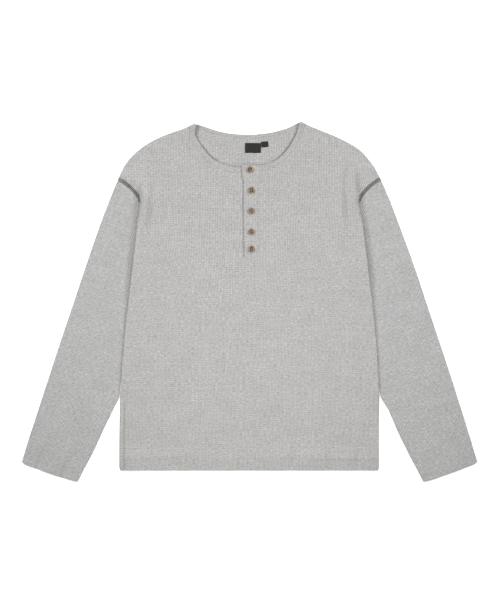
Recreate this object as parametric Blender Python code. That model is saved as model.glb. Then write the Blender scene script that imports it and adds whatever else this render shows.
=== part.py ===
"""Henley shirt in waffle knit, laid flat on its back with the sleeves drawn down beside the body.

X runs across the shirt, Y from the hem towards the neck, Z up from the surface it lies on.
Sizes are in millimetres until a mesh is made. The cloth lies in layers: the back and the under
side of the sleeves on the floor, the front and the upper side of the sleeves on those, and the
sides of the front folded under where the body overlaps the sleeves.
"""
import math

import bmesh
import bpy
import numpy as np

MM = 0.001

# ---- cloth and layers --------------------------------------------------------------------------
CLOTH = 1.5              # thickness of the knit
SEAM_GAP = 0.3           # between two pieces that are sewn together
SLACK = 0.5              # air in a soft fold, besides the gap
Z_FLOOR = CLOTH / 2                         # middle of the cloth that lies on the floor
Z_SEAM = Z_FLOOR + CLOTH + SEAM_GAP         # an edge sewn over one on the floor
Z_SECOND = Z_SEAM + SLACK                   # upper side of the sleeves
Z_THIRD = Z_SECOND + CLOTH + SEAM_GAP       # sides of the front, folded under, over the sleeves
BODY_LOFT = 1.0          # how much the front stands off the back
SLEEVE_LOFT = 1.6        # how much the upper side of a sleeve stands off the lower
SIDE_SPREAD = 70.0       # over which the raised side of the front comes down towards the middle
EDGE_ZONE = 12.0         # width of the rounded strip along each side of the front
FOLD_DEPTH = 3.2         # how far a fold takes to turn, in plan
SOFT_DEPTH = 6.0         # how far an edge that is not folded takes to come down
DIP_ZONE = 6.0           # the folded front comes down to the back over this width
UNDERARM_GAP = 1.0       # extra room where the sleeve's fold meets the armhole
OUTLINE_INSET = 0.4      # the layer on the floor stays this far inside the outline

# ---- body --------------------------------------------------------------------------------------
LEFT, RIGHT = 1, 2       # columns of the tables below
SIDES = {"left": (LEFT, -1), "right": (RIGHT, 1)}

# where each side of the body ends as it lies, and how far inside it the seam lies, folded under:
# y, left x, right x, height of the upper side, tuck
BODY_EDGE = (
    (-329.0, 254.2, 252.2, 3.4, 0.0),
    (-280.0, 254.2, 252.0, 4.4, 0.0),
    (-210.0, 253.4, 252.6, 6.0, 0.0),
    (-188.0, 253.0, 252.8, 7.0, 0.0),
    (-170.0, 252.4, 252.6, 8.4, 6.0),
    (-140.0, 251.0, 251.8, 9.2, 16.5),
    (-100.0, 248.2, 249.4, 9.4, 26.0),
    (-50.0, 243.6, 245.8, 9.6, 32.0),
    (3.0, 237.4, 239.8, 10.2, 33.5),
    (54.0, 231.0, 233.4, 11.6, 25.5),
    (116.0, 224.2, 227.3, 11.2, 17.0),
    (160.0, 218.8, 221.0, 10.0, 9.5),
    (180.0, 215.6, 216.4, 9.0, 4.5),
    (192.0, 211.8, 212.2, 7.6, 0.0),
)
UNDERARM_Y = 3.0         # side seam below it, armhole seam above it
# armhole seam where it shows, up to the shoulder: y, left x, right x
ARMHOLE = (
    (201.9, 214.6, 215.4),
    (213.8, 223.2, 223.8),
    (228.4, 238.8, 238.6),
    (239.2, 255.4, 255.6),
)
FOLD_TOP_Y = 192.0       # above this the armhole seam shows
CLIMB_Y = 216.0          # from here down the front's edge rises onto the sleeve

# shoulder seam, from the armhole to the neckband: y, left x, right x
SHOULDER = (
    (239.2, 255.4, 255.6),
    (256.5, 247.7, 245.8),
    (276.0, 234.9, 232.5),
    (291.6, 219.5, 219.3),
    (307.2, 198.4, 196.9),
    (318.9, 176.6, 173.6),
    (330.6, 146.7, 146.2),
    (338.4, 124.5, 126.3),
)
NECK_CORNER = {"left": (-117.4, 342.2), "right": (111.2, 345.2)}     # its end at the neckband
# ---- neck --------------------------------------------------------------------------------------
NECK_POINT = {"left": (-106.0, 346.8), "right": (99.7, 350.9)}
BAND_FRONT = 12.5        # width of the neckband
BAND_BACK = 9.0          # what shows of it inside the back neck
NECK_LOFT = 2.0          # the front neck edge stands a little higher
# free edge of the neckband, front, on the left and right of the placket: x, y
NECK_FRONT_LEFT = (
    (-106.0, 346.8),
    (-102.1, 332.6),
    (-96.4, 316.0),
    (-89.8, 301.4),
    (-78.7, 287.7),
    (-67.0, 278.2),
    (-55.3, 271.9),
    (-43.6, 267.9),
    (-31.9, 265.2),
    (-18.0, 264.4),
    (-5.0, 264.4),
)
NECK_FRONT_RIGHT = (
    (10.0, 269.6),
    (22.0, 270.4),
    (38.3, 272.6),
    (50.0, 278.2),
    (61.7, 287.7),
    (73.4, 302.4),
    (85.1, 322.8),
    (95.5, 342.0),
    (99.7, 350.9),
)
# free edge of the neckband across the back: x, y
NECK_BACK = (
    (-106.0, 346.8),
    (-88.4, 341.0),
    (-65.0, 333.2),
    (-41.6, 327.9),
    (-18.2, 325.7),
    (5.2, 325.5),
    (28.6, 327.3),
    (52.0, 331.4),
    (75.4, 338.4),
    (90.0, 345.4),
    (99.7, 350.9),
)
# ---- placket and buttons -----------------------------------------------------------------------
PLACKET_LEFT = -12.4     # free edge of the upper strip
PLACKET_RIGHT = 20.8     # where it is sewn to the front
PLACKET_LEAN = 3.6       # the free edge leans out by this much at the neck
PLACKET_LEAN_FROM = 215.0
UNDER_RIGHT = 13.0       # hidden edge of the lower strip
PLACKET_BOTTOM = 88.0    # y of the slit's lower end
BUTTON_RADIUS = 6.35
BUTTON_THICK = 2.6
BUTTON_RIM = 1.5
BUTTON_DISH = 0.7        # depth of the dished middle
BUTTON_HOLE = 0.9        # radius
BUTTON_HOLE_OUT = 1.5    # of each of the four holes from the middle
BUTTON_SINK = 0.3        # gap between the button and the strip
BUTTONS = (              # x, y
    (1.3, 257.7),
    (3.8, 217.1),
    (4.0, 177.0),
    (4.0, 136.0),
    (4.0, 102.9),
)
# ---- labels ------------------------------------------------------------------------------------
LABEL_THICK = 1.0
NECK_LABEL = (-8.5, 299.3, 31.0, 19.4, 0.0)      # left x, middle y, width, height, turn in degrees
SIZE_TAB = (23.4, 306.2, 13.6, 10.2, 5.0)        # the same

# ---- sleeves -----------------------------------------------------------------------------------
# outer fold, from the cuff to the armhole: y, left x, right x
SLEEVE_OUTER = (
    (-310.9, 442.7, 442.7),
    (-231.0, 419.0, 418.8),
    (-153.0, 393.6, 394.0),
    (-75.0, 368.1, 368.3),
    (3.0, 341.3, 342.5),
    (81.0, 315.4, 316.2),
    (159.0, 288.1, 287.5),
    (198.0, 272.9, 272.9),
    (239.2, 255.4, 255.6),
)
# inner fold, as far as it shows below the body: y, left x, right x
SLEEVE_INNER = (
    (-350.8, 332.4, 340.5),
    (-328.5, 324.2, 325.9),
    (-289.5, 303.9, 306.5),
    (-250.5, 286.2, 287.5),
    (-211.5, 267.1, 270.8),
    (-188.0, 255.6, 257.0),
)
# cuff edge from the outer to the inner fold: x out, y
CUFF = {
    "left": ((442.7, -310.9), (436.1, -317.2), (419.9, -323.8), (396.5, -332.4),
             (373.1, -340.4), (349.7, -347.4), (332.4, -350.8)),
    "right": ((442.7, -312.0), (436.0, -317.6), (419.9, -324.2), (396.5, -332.8),
              (373.1, -341.0), (352.0, -348.2), (340.5, -350.8)),
}

# ---- mesh density ------------------------------------------------------------------------------
ROWS_BELOW_SLIT = 19
ROWS_BESIDE_SLIT = 7
NECK_COLUMNS = 7         # on each side of the placket
PLACKET_COLUMNS = 2
SHOULDER_COLUMNS = 4
STRIP_POINTS = 12        # across each rounded side of the front
BACK_SIDE_POINTS = 24
ARMHOLE_SHOWN = 5        # segments of the armhole seam, where it shows and where it is hidden
ARMHOLE_HIDDEN = 5
BACK_SHOULDER_POINTS = 10
SLEEVE_ROWS = 15
SLEEVE_COLUMNS = ARMHOLE_SHOWN + ARMHOLE_HIDDEN
FOLD_POINTS = 5          # segments in a folded edge
TURN_WEIGHT = 12.0       # how closely the points of a rounded side follow its bend

WAFFLE_GREY = (0.50, 0.49, 0.48)
HORN_BROWN = (0.16, 0.10, 0.05)
LABEL_BLACK = (0.02, 0.02, 0.022)


# ---- curves ------------------------------------------------------------------------------------
def smooth_line(points, step=1.0):
    """A smooth curve through the points, as points about one step apart."""
    p = np.array(points, float)
    t = np.concatenate([[0.0], np.cumsum(np.linalg.norm(np.diff(p, axis=0), axis=1))])
    slope = np.gradient(p, t, axis=0)
    pieces = []
    for i in range(len(p) - 1):
        gap = t[i + 1] - t[i]
        s = np.linspace(0, 1, max(2, int(gap / step) + 1), endpoint=False)[:, None]
        pieces.append((2 * s**3 - 3 * s**2 + 1) * p[i] + (s**3 - 2 * s**2 + s) * gap * slope[i]
                      + (3 * s**2 - 2 * s**3) * p[i + 1] + (s**3 - s**2) * gap * slope[i + 1])
    pieces.append(p[-1:])
    return np.concatenate(pieces)


def lengths(line):
    """The length of a line up to each of its points."""
    return np.concatenate([[0.0], np.cumsum(np.linalg.norm(np.diff(line, axis=0), axis=1))])


def points_at(line, fractions):
    """Points at the given fractions of a line's length."""
    run = lengths(line)
    where = np.asarray(fractions) * run[-1]
    return np.stack([np.interp(where, run, line[:, k]) for k in range(line.shape[1])], axis=1)


def soft_step(value, low=0.0, high=1.0):
    """Rises smoothly from 0 at low to 1 at high."""
    s = np.clip((value - low) / (high - low), 0, 1)
    return s * s * (3 - 2 * s)


def table_line(table, side, step=1.0):
    """A table of y, left x, right x as a smooth line of (x, y) on one side."""
    column, sign = SIDES[side]
    return smooth_line([(sign * row[column], row[0]) for row in table], step)


def shoulder_line(side):
    """Shoulder seam from the armhole to the neckband."""
    column, sign = SIDES[side]
    return smooth_line([(sign * row[column], row[0]) for row in SHOULDER] + [NECK_CORNER[side]])


def shifted(line, distance):
    """The line moved sideways, to its right-hand side as it runs."""
    run = np.gradient(line, axis=0)
    run /= np.linalg.norm(run, axis=1)[:, None]
    return line + distance * np.stack([run[:, 1], -run[:, 0]], axis=1)


# ---- meshes ------------------------------------------------------------------------------------
def material(name, colour, roughness):
    """One Principled material."""
    mat = bpy.data.materials.new(name)
    mat.use_nodes = True
    shader = mat.node_tree.nodes["Principled BSDF"]
    shader.inputs["Base Color"].default_value = (*colour, 1.0)
    shader.inputs["Roughness"].default_value = roughness
    return mat


def add_object(name, mesh, mat):
    """A named object for a finished mesh."""
    mesh.materials.append(mat)
    mesh.shade_smooth()
    obj = bpy.data.objects.new(name, mesh)
    bpy.context.scene.collection.objects.link(obj)
    return obj


def cloth_sheet(name, rows, mat, skip=None):
    """A wall of cloth round the grid of middle points, rows[i][j] = (x, y, z) in millimetres.

    skip(i, j) says which cells of the grid stay open.
    """
    bm = bmesh.new()
    verts = [[bm.verts.new([c * MM for c in point]) for point in row] for row in rows]
    for i in range(len(rows) - 1):
        for j in range(len(rows[i]) - 1):
            if skip is None or not skip(i, j):
                bm.faces.new((verts[i][j], verts[i][j + 1], verts[i + 1][j + 1], verts[i + 1][j]))
    loose = [v for v in bm.verts if not v.link_faces]
    bmesh.ops.delete(bm, geom=loose, context="VERTS")
    mesh = bpy.data.meshes.new(name)
    bm.to_mesh(mesh)
    bm.free()
    obj = add_object(name, mesh, mat)
    wall = obj.modifiers.new("wall", "SOLIDIFY")
    wall.thickness = CLOTH * MM
    wall.offset = 0.0
    return obj


# ---- body outlines -----------------------------------------------------------------------------
def visible_edge(side):
    """Where the front ends as it lies: body edge and fold, then the armhole seam that shows."""
    column, sign = SIDES[side]
    return smooth_line([(sign * row[column], row[0]) for row in BODY_EDGE + ARMHOLE])


def side_seam(side):
    """The whole seam along one side of the body: side seam, then armhole."""
    column, sign = SIDES[side]
    folded = [(sign * (row[column] - row[4]), row[0]) for row in BODY_EDGE]
    return smooth_line(folded + [(sign * row[column], row[0]) for row in ARMHOLE])


def tuck_at(side, y):
    """How far the front is folded under at the height y."""
    if y > FOLD_TOP_Y:
        return 0.0
    edge, seam = visible_edge(side), side_seam(side)
    tuck = np.interp(y, edge[:, 1], np.abs(edge[:, 0])) - np.interp(y, seam[:, 1], np.abs(seam[:, 0]))
    return float(tuck) if tuck > 0.05 else 0.0


def armhole_points(side):
    """Points along the armhole seam, from the shoulder down to the underarm, that all its pieces share."""
    seam = side_seam(side)[::-1]
    shown = seam[seam[:, 1] >= FOLD_TOP_Y]
    hidden = seam[(seam[:, 1] <= FOLD_TOP_Y) & (seam[:, 1] >= UNDERARM_Y)]
    hidden = np.concatenate([shown[-1:], hidden])
    return np.concatenate([points_at(shown, np.linspace(0, 1, ARMHOLE_SHOWN + 1)),
                           points_at(hidden, np.linspace(0, 1, ARMHOLE_HIDDEN + 1))[1:]])


def neck_pairs(panel):
    """Dense pairs of points round the neck, (free edge, seam), from left to right."""
    if panel == "front":
        lines = [smooth_line(NECK_FRONT_LEFT), smooth_line(NECK_FRONT_RIGHT)]
        edge = np.concatenate(lines)
        seam = np.concatenate([shifted(line, BAND_FRONT) for line in lines])
    else:
        edge = smooth_line(NECK_BACK)
        seam = shifted(edge, BAND_BACK)
        starts = []
        for side, sign in (("left", 1), ("right", -1)):
            corner = np.array(NECK_CORNER[side])
            along = corner - NECK_POINT[side]
            square = np.array([sign * abs(along[1]), -abs(along[0])]) / np.linalg.norm(along)
            starts.append([corner, corner + 4.0 * square])
        middle = seam[(seam[:, 0] > starts[0][0][0] + 22) & (seam[:, 0] < starts[1][0][0] - 22)]
        seam = smooth_line([*starts[0], *points_at(middle, np.linspace(0, 1, 7)), *starts[1][::-1]])
        edge = points_at(edge, lengths(seam) / lengths(seam)[-1])
    order = np.argsort(seam[:, 0])
    return edge[order], seam[order]


def top_line(panel):
    """Shoulder seam, neck seam, shoulder seam, as one line of (x, y) from left to right."""
    left = shoulder_line("left")
    right = shoulder_line("right")[::-1]
    seam = neck_pairs(panel)[1]
    seam = seam[(seam[:, 0] > left[-1, 0] + 1.0) & (seam[:, 0] < right[0, 0] - 1.0)]
    return np.concatenate([left, shifted(seam, SEAM_GAP), right])


# ---- body panels -------------------------------------------------------------------------------
def body_columns():
    """x of the upright columns between the neck corners, evenly spaced along the front neck seam."""
    seam = neck_pairs("front")[1]
    west = seam[(seam[:, 0] > NECK_CORNER["left"][0]) & (seam[:, 0] < PLACKET_LEFT)]
    east = seam[(seam[:, 0] > PLACKET_RIGHT) & (seam[:, 0] < NECK_CORNER["right"][0])]
    fractions = np.linspace(0, 1, NECK_COLUMNS + 1)
    columns = np.concatenate([points_at(west, fractions)[:, 0], points_at(east, fractions)[:, 0]])
    columns[[0, NECK_COLUMNS, NECK_COLUMNS + 1, -1]] = (
        NECK_CORNER["left"][0], PLACKET_LEFT, PLACKET_RIGHT, NECK_CORNER["right"][0])
    middle = np.linspace(PLACKET_LEFT, PLACKET_RIGHT, PLACKET_COLUMNS + 1)[1:-1]
    return np.sort(np.concatenate([columns, middle]))


def placket_columns():
    """First and last column of the slit among all columns of the front grid."""
    columns = body_columns()
    first = STRIP_POINTS - 1 + SHOULDER_COLUMNS
    return (first + int(np.argmin(np.abs(columns - PLACKET_LEFT))),
            first + int(np.argmin(np.abs(columns - PLACKET_RIGHT))))


def row_share(v):
    """How far the rows have taken on the shape of the top line at the height fraction v."""
    return np.clip((v - 0.5) / 0.5, 0, 1) ** 1.6


def edge_points(side, fractions):
    """Ends of the front's rows on one side: along the body edge, then at the armhole's own points."""
    edge = visible_edge(side)
    below = edge[edge[:, 1] <= FOLD_TOP_Y]
    armhole = armhole_points(side)[:ARMHOLE_SHOWN][::-1]
    return np.concatenate([points_at(below, fractions[:-ARMHOLE_SHOWN] / fractions[-ARMHOLE_SHOWN - 1]), armhole])


def row_fractions(top):
    """Height fractions of the front's rows, one of them at the slit's lower end."""
    edge = visible_edge("left")
    shown = armhole_points("left")[:ARMHOLE_SHOWN + 1]
    below = lengths(edge[edge[:, 1] <= FOLD_TOP_Y])[-1]
    whole = below + lengths(shown)[-1]
    v = np.linspace(0, 1, 400)
    rise = np.interp(0.0, top[:, 0], top[:, 1]) - edge[-1, 1]
    slit = float(np.interp(PLACKET_BOTTOM, points_at(edge, v)[:, 1] + row_share(v) * rise, v))
    return np.concatenate([np.linspace(0, slit, ROWS_BELOW_SLIT + 1),
                           np.linspace(slit, below / whole, ROWS_BESIDE_SLIT + 1)[1:],
                           np.linspace(below / whole, 1, ARMHOLE_SHOWN + 1)[1:]])


def row_x(left, right, columns):
    """x of all columns of a row of the front, between its rounded sides."""
    west = np.linspace(left + EDGE_ZONE, columns[0], SHOULDER_COLUMNS + 1)[:-1]
    east = np.linspace(columns[-1], right - EDGE_ZONE, SHOULDER_COLUMNS + 1)[1:]
    return np.concatenate([west, columns, east])


def front_rows():
    """Rows of (x, y) across the front between its rounded sides, with the ends of each row."""
    top = top_line("front")
    fractions = row_fractions(top)
    left, right = edge_points("left", fractions), edge_points("right", fractions)
    columns = body_columns()

    def chord(i, x):
        u = (x - left[i, 0]) / (right[i, 0] - left[i, 0])
        return (1 - u) * left[i, 1] + u * right[i, 1]

    top_x = row_x(left[-1, 0], right[-1, 0], columns)
    rise = np.interp(top_x, top[:, 0], top[:, 1]) - chord(-1, top_x)
    rows = []
    for i, v in enumerate(fractions):
        x = row_x(left[i, 0], right[i, 0], columns)
        rows.append((x, chord(i, x) + row_share(v) * rise))
    return fractions, rows, left, right


def make_back(mat):
    """The back panel: its outline, laid flat on the floor and given the cloth's thickness."""
    columns = body_columns()
    top = top_line("back")
    neck = np.stack([columns, np.interp(columns, top[:, 0], top[:, 1])], axis=1)
    sides = {}
    for side, (_, sign) in SIDES.items():
        seam = side_seam(side)
        seam = points_at(seam[seam[:, 1] < UNDERARM_Y - 1], np.linspace(0, 1, BACK_SIDE_POINTS))
        seam = np.concatenate([seam - (sign * OUTLINE_INSET, 0), armhole_points(side)[::-1]])
        shoulder = points_at(shoulder_line(side), np.linspace(0, 1, BACK_SHOULDER_POINTS)) - (0, OUTLINE_INSET)
        sides[side] = np.concatenate([seam[:-1], shoulder[:-1] - (sign * OUTLINE_INSET, 0)])
    outline = np.concatenate([sides["left"], neck - (0, OUTLINE_INSET), sides["right"][::-1]])
    bm = bmesh.new()
    face = bm.faces.new([bm.verts.new((x * MM, y * MM, 0.0)) for x, y in outline])
    bmesh.ops.triangulate(bm, faces=[face])
    raised = bmesh.ops.extrude_face_region(bm, geom=bm.faces[:])["geom"]
    bmesh.ops.translate(bm, vec=(0, 0, CLOTH * MM), verts=[g for g in raised if isinstance(g, bmesh.types.BMVert)])
    bmesh.ops.recalc_face_normals(bm, faces=bm.faces)
    mesh = bpy.data.meshes.new("back")
    bm.to_mesh(mesh)
    bm.free()
    add_object("back", mesh, mat)
    mesh.set_sharp_from_angle(angle=math.radians(35))


def spread_points(path, count):
    """Points along a (out, z) path, closer together where it bends."""
    run = np.diff(path, axis=0)
    turn = np.abs(np.diff(np.unwrap(np.arctan2(run[:, 1], run[:, 0])), prepend=0.0))
    weight = np.concatenate([[0.0], np.cumsum(np.linalg.norm(run, axis=1) + TURN_WEIGHT * turn)])
    where = np.linspace(0, weight[-1], count)
    return np.stack([np.interp(where, weight, path[:, k]) for k in (0, 1)], axis=1)


def fold_profile(tuck, high, under, low, count):
    """Rounded side of the front as (out, z), from its upper side round the fold to the seam.

    The upper side is at height high, the folded layer at height under, and the seam at height low,
    tuck inside the fold. Without a tuck it ends at the fold's outermost point.
    """
    depth = SOFT_DEPTH + (FOLD_DEPTH - SOFT_DEPTH) * soft_step(tuck, 0.0, 6.0)
    turned = min(tuck, depth)
    last = math.pi - math.asin(1 - turned / depth)
    angle = np.linspace(0, last, 40)
    height = (high - under) / (1 - math.cos(last))
    arc = np.stack([depth * (np.sin(angle) - 1), high - height * (1 - np.cos(angle))], axis=1)
    path = np.concatenate([[(-EDGE_ZONE, high)], arc])
    flat = tuck - turned
    if flat > DIP_ZONE:
        dip = np.linspace(0, 1, 20)
        end = -tuck + DIP_ZONE
        path = np.concatenate([path, np.stack([end - DIP_ZONE * dip, under + (low - under) * soft_step(dip)], axis=1)])
    elif flat > 0.1:
        path = np.concatenate([path, [(-tuck, under)]])
    return spread_points(path, count)


def step_profile(high, low, count):
    """Side of the front where it meets the sleeve edge to edge: a soft step down."""
    t = np.linspace(0, 1, count)
    return np.stack([-EDGE_ZONE * (1 - t), high + (low - high) * soft_step(t)], axis=1)


def side_profile(y, tuck, high, under, low):
    """Side of the front where its edge is at y: folded over the sleeve, or flat beside it."""
    folded = fold_profile(tuck, high, under, low, STRIP_POINTS)
    plain = step_profile(high, low, STRIP_POINTS)
    share = (1 - soft_step(y, FOLD_TOP_Y + 2, FOLD_TOP_Y + 14)) * soft_step(high - under, 2.0, 3.5)
    return plain * (1 - share) + folded * share


def side_levels(side, y):
    """Tuck, and the heights high, under and low of the front's side, where its edge is at y."""
    high = np.interp(y, [row[0] for row in BODY_EDGE], [row[3] for row in BODY_EDGE])
    high += (Z_SECOND + 0.6 - high) * soft_step(y, FOLD_TOP_Y, 232.0)
    tuck = tuck_at(side, y)
    on_sleeve = soft_step(y, UNDERARM_Y - 125, UNDERARM_Y - 85) * (1 - soft_step(y, FOLD_TOP_Y + 8, CLIMB_Y))
    plain = Z_SEAM + (Z_SECOND - Z_SEAM) * soft_step(y, UNDERARM_Y, 60.0) * (1 - soft_step(y, 228.0, 239.0))
    low = plain + (Z_THIRD - plain) * on_sleeve
    under = low + (Z_THIRD - low) * soft_step(tuck, 1.0, 8.0)
    if tuck - FOLD_DEPTH < DIP_ZONE:
        low = under
    return tuck, high, under, low


def front_grid():
    """Middle points of the whole front, its rounded and folded sides included."""
    fractions, rows, left, right = front_rows()
    ends = {"left": left, "right": right}
    grid = []
    for i, (x, y) in enumerate(rows):
        v = fractions[i]
        z = np.full(len(x), Z_SECOND + BODY_LOFT * soft_step(v, 0, 0.08) * soft_step(1 - v, 0, 0.08))
        profiles = {}
        for side, (_, sign) in SIDES.items():
            tuck, high, under, low = side_levels(side, ends[side][i, 1])
            high = Z_SEAM + (high - Z_SEAM) * (1 - soft_step(v, 0.93, 1.0))
            inside = abs(ends[side][i, 0]) - sign * x
            near = 1 - soft_step(inside - max(EDGE_ZONE, tuck + DIP_ZONE), 0, SIDE_SPREAD)
            z = z + (high - z) * near
            profiles[side] = side_profile(ends[side][i, 1], tuck, high, under, low)
        in_neck = np.minimum(x - NECK_CORNER["left"][0], NECK_CORNER["right"][0] - x)
        z = z + NECK_LOFT * soft_step(v, 0.86, 1.0) * soft_step(in_neck, 0, 40)
        shoulder = (1 - soft_step(in_neck, 0, 20)) * soft_step(v, 0.93, 1.0)
        z = z * (1 - shoulder) + Z_SEAM * shoulder
        row = list(zip(x, y, z))
        for side, (_, sign) in SIDES.items():
            inner = row[0] if sign < 0 else row[-1]
            edge = ends[side][i]
            reach = (edge - np.array(inner[:2])) / EDGE_ZONE
            outermost = int(np.argmax(profiles[side][:, 0]))
            strip = []
            for k, (out, height) in enumerate(profiles[side][1:], 1):
                px, py = edge + reach * out
                strip.append((px, py if k <= outermost else edge[1], height))
            row = strip[::-1] + row if sign < 0 else row + strip
        grid.append(row)
    return grid


def make_front(grid, mat):
    """The front panel, open at the placket's slit."""
    first, last = placket_columns()
    cloth_sheet("front", grid, mat, skip=lambda i, j: i >= ROWS_BELOW_SLIT and first <= j < last)


# ---- placket -----------------------------------------------------------------------------------
def placket_rows(grid):
    """y and height of the front across the slit, carried on up to the neck edge."""
    first, last = placket_columns()
    rows = []
    for row in grid[ROWS_BELOW_SLIT:]:
        part = np.array(row[first:last + 1])
        rows.append((part[:, 0], part[:, 1], part[:, 2]))
    x, _, z = rows[-1]
    neck_y = np.interp(x, (-16.0, PLACKET_RIGHT), (268.2, 270.3))
    last_y = rows[-1][1]
    for share in (0.5, 1.0):
        rows.append((x, last_y + (neck_y - last_y) * share, z))
    return rows


def strip_at(rows, left, right, lift):
    """A strip over the slit: left(y) to right, lift(x) above the front's own height."""
    grid = []
    for k, (x, y, z) in enumerate(rows):
        start = left(float(y.mean()))
        across = np.linspace(start, right, 7)
        ys = np.interp(across, x, y) + (SEAM_GAP if k == 0 else 0.0)
        grid.append([(px, py, pz + lift(px)) for px, py, pz in zip(across, ys, np.interp(across, x, z))])
    return grid


def placket_left(y):
    """x of the upper strip's free edge."""
    return PLACKET_LEFT - PLACKET_LEAN * soft_step(y, PLACKET_LEAN_FROM, PLACKET_LEAN_FROM + 45)


def top_lift(x):
    """The upper strip lies on the lower one and comes down to the front at its sewn edge."""
    return (CLOTH + SEAM_GAP) * (1 - soft_step(x, UNDER_RIGHT + 1.2, PLACKET_RIGHT - SEAM_GAP))


def make_placket(grid, mat):
    """Both strips of the placket; returns the upper strip's points."""
    rows = placket_rows(grid)
    under = strip_at(rows, lambda y: PLACKET_LEFT + SEAM_GAP, UNDER_RIGHT, lambda x: 0.0)
    upper = strip_at(rows, placket_left, PLACKET_RIGHT - SEAM_GAP, top_lift)
    cloth_sheet("placket_under", under, mat)
    cloth_sheet("placket_top", upper, mat)
    return np.array(upper)


def make_button(name, x, y, z, mat):
    """A dished, four-holed button, resting just above the strip at height z."""
    profile = ((0.0, 0.0), (BUTTON_RADIUS - 1.0, 0.0), (BUTTON_RADIUS, 0.8), (BUTTON_RADIUS, BUTTON_THICK - 0.6),
               (BUTTON_RADIUS - 0.6, BUTTON_THICK), (BUTTON_RADIUS - BUTTON_RIM, BUTTON_THICK),
               (BUTTON_RADIUS - BUTTON_RIM - 0.9, BUTTON_THICK - BUTTON_DISH), (0.0, BUTTON_THICK - BUTTON_DISH))
    bm = bmesh.new()
    chain = [bm.verts.new((r * MM, 0, h * MM)) for r, h in profile]
    edges = [bm.edges.new(pair) for pair in zip(chain, chain[1:])]
    bmesh.ops.spin(bm, geom=chain + edges, cent=(0, 0, 0), axis=(0, 0, 1), angle=math.tau, steps=20, use_duplicate=False)
    bmesh.ops.remove_doubles(bm, verts=bm.verts, dist=1e-6)
    bmesh.ops.recalc_face_normals(bm, faces=bm.faces)
    mesh = bpy.data.meshes.new(name)
    bm.to_mesh(mesh)
    bm.free()
    obj = add_object(name, mesh, mat)
    obj.location = (x * MM, y * MM, z * MM)
    mesh.set_sharp_from_angle(angle=math.radians(35))
    for k in range(4):
        turn = math.radians(45 + 90 * k)
        hole = bmesh.new()
        bmesh.ops.create_cone(hole, cap_ends=True, segments=6, radius1=BUTTON_HOLE * MM, radius2=BUTTON_HOLE * MM,
                              depth=3 * BUTTON_THICK * MM)
        hole_mesh = bpy.data.meshes.new(name + "_hole")
        hole.to_mesh(hole_mesh)
        hole.free()
        cutter = bpy.data.objects.new(f"{name}_cutter_{k}", hole_mesh)
        bpy.context.scene.collection.objects.link(cutter)
        cutter.location = ((x + BUTTON_HOLE_OUT * math.cos(turn)) * MM, (y + BUTTON_HOLE_OUT * math.sin(turn)) * MM, z * MM)
        cutter.hide_render = True
        cutter.display_type = "WIRE"
        cut = obj.modifiers.new(f"hole_{k}", "BOOLEAN")
        cut.operation = "DIFFERENCE"
        cut.object = cutter
    return obj


def make_buttons(upper, mat):
    """The five buttons down the upper strip."""
    points = upper.reshape(-1, 3)
    for number, (x, y) in enumerate(BUTTONS, 1):
        near = points[np.argsort(np.hypot(points[:, 0] - x, points[:, 1] - y))[:4]]
        height = near[:, 2].max() + CLOTH / 2 + BUTTON_SINK
        make_button(f"button_{number}", x, y, height, mat)


# ---- neckband ----------------------------------------------------------------------------------
def band_lines(panel, xs, heights):
    """Cross-lines of the neckband beside the panel's own columns: (free edge, seam, height)."""
    edge, seam = neck_pairs(panel)
    lines = []
    for x, z in zip(xs, heights):
        e = np.array([np.interp(x, seam[:, 0], edge[:, k]) for k in (0, 1)])
        lines.append((e, np.array([x, np.interp(x, seam[:, 0], seam[:, 1])]), z))
    return lines


def band_turn(side):
    """Cross-lines of the neckband round the shoulder seam, from the front to the back."""
    point = np.array(NECK_POINT[side])
    out = np.array(NECK_CORNER[side])
    along = (out - point) / np.linalg.norm(out - point)
    out = out - along * 2 * SEAM_GAP
    away = np.array([along[1], -along[0]])
    away *= 1 if away[1] > 0 else -1
    radius = (Z_SECOND - Z_FLOOR) / 2
    lines = []
    for k in range(FOLD_POINTS + 1):
        turn = math.pi * k / FOLD_POINTS
        push = away * (radius * math.sin(turn) - radius - CLOTH / 2)
        lines.append((point + push, out + push, Z_FLOOR + radius + radius * math.cos(turn)))
    return lines


def make_neckband(grid, mat):
    """One strip from the placket round the neck and back to the placket."""
    columns = body_columns()
    top = np.array(grid[-1])
    west = columns[(columns > columns[0]) & (columns < PLACKET_LEFT + 0.1)]
    east = columns[(columns > PLACKET_RIGHT - 0.1) & (columns < columns[-1])]
    left = band_lines("front", west[::-1], np.interp(west[::-1], top[:, 0], top[:, 2]))
    right = band_lines("front", east, np.interp(east, top[:, 0], top[:, 2]))
    for lines in (left, right):
        edge, seam, height = lines[0]
        x = seam[0] + SEAM_GAP * (-1 if lines is left else 1)
        lines[0] = (np.array([x, edge[1]]), np.array([x, seam[1]]), height)
    inner = columns[1:-1]
    back = band_lines("back", inner, [Z_FLOOR] * len(inner))
    order = left + band_turn("left") + back + band_turn("right")[::-1] + right[::-1]
    rows = [[(*(e + (s - e) * share), z) for share in (0.0, 0.5, 1.0)] for e, s, z in order]
    cloth_sheet("neckband", rows, mat)


# ---- sleeves -----------------------------------------------------------------------------------
def sleeve_inner_line(side):
    """Inner fold of a sleeve: what shows, then along the side seam up to the underarm."""
    sign = SIDES[side][1]
    shown = [(sign * row[SIDES[side][0]], row[0]) for row in SLEEVE_INNER]
    seam = side_seam(side)
    underarm = armhole_points(side)[-1]
    hidden = []
    for y in (-160.0, -130.0, -100.0, -65.0, -30.0, underarm[1]):
        beside = (DIP_ZONE + 2) * (1 - soft_step(y, -60.0, UNDERARM_Y)) + SEAM_GAP
        hidden.append((sign * (np.interp(y, seam[:, 1], np.abs(seam[:, 0])) + beside), y))
    return smooth_line(shown + hidden)


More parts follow.
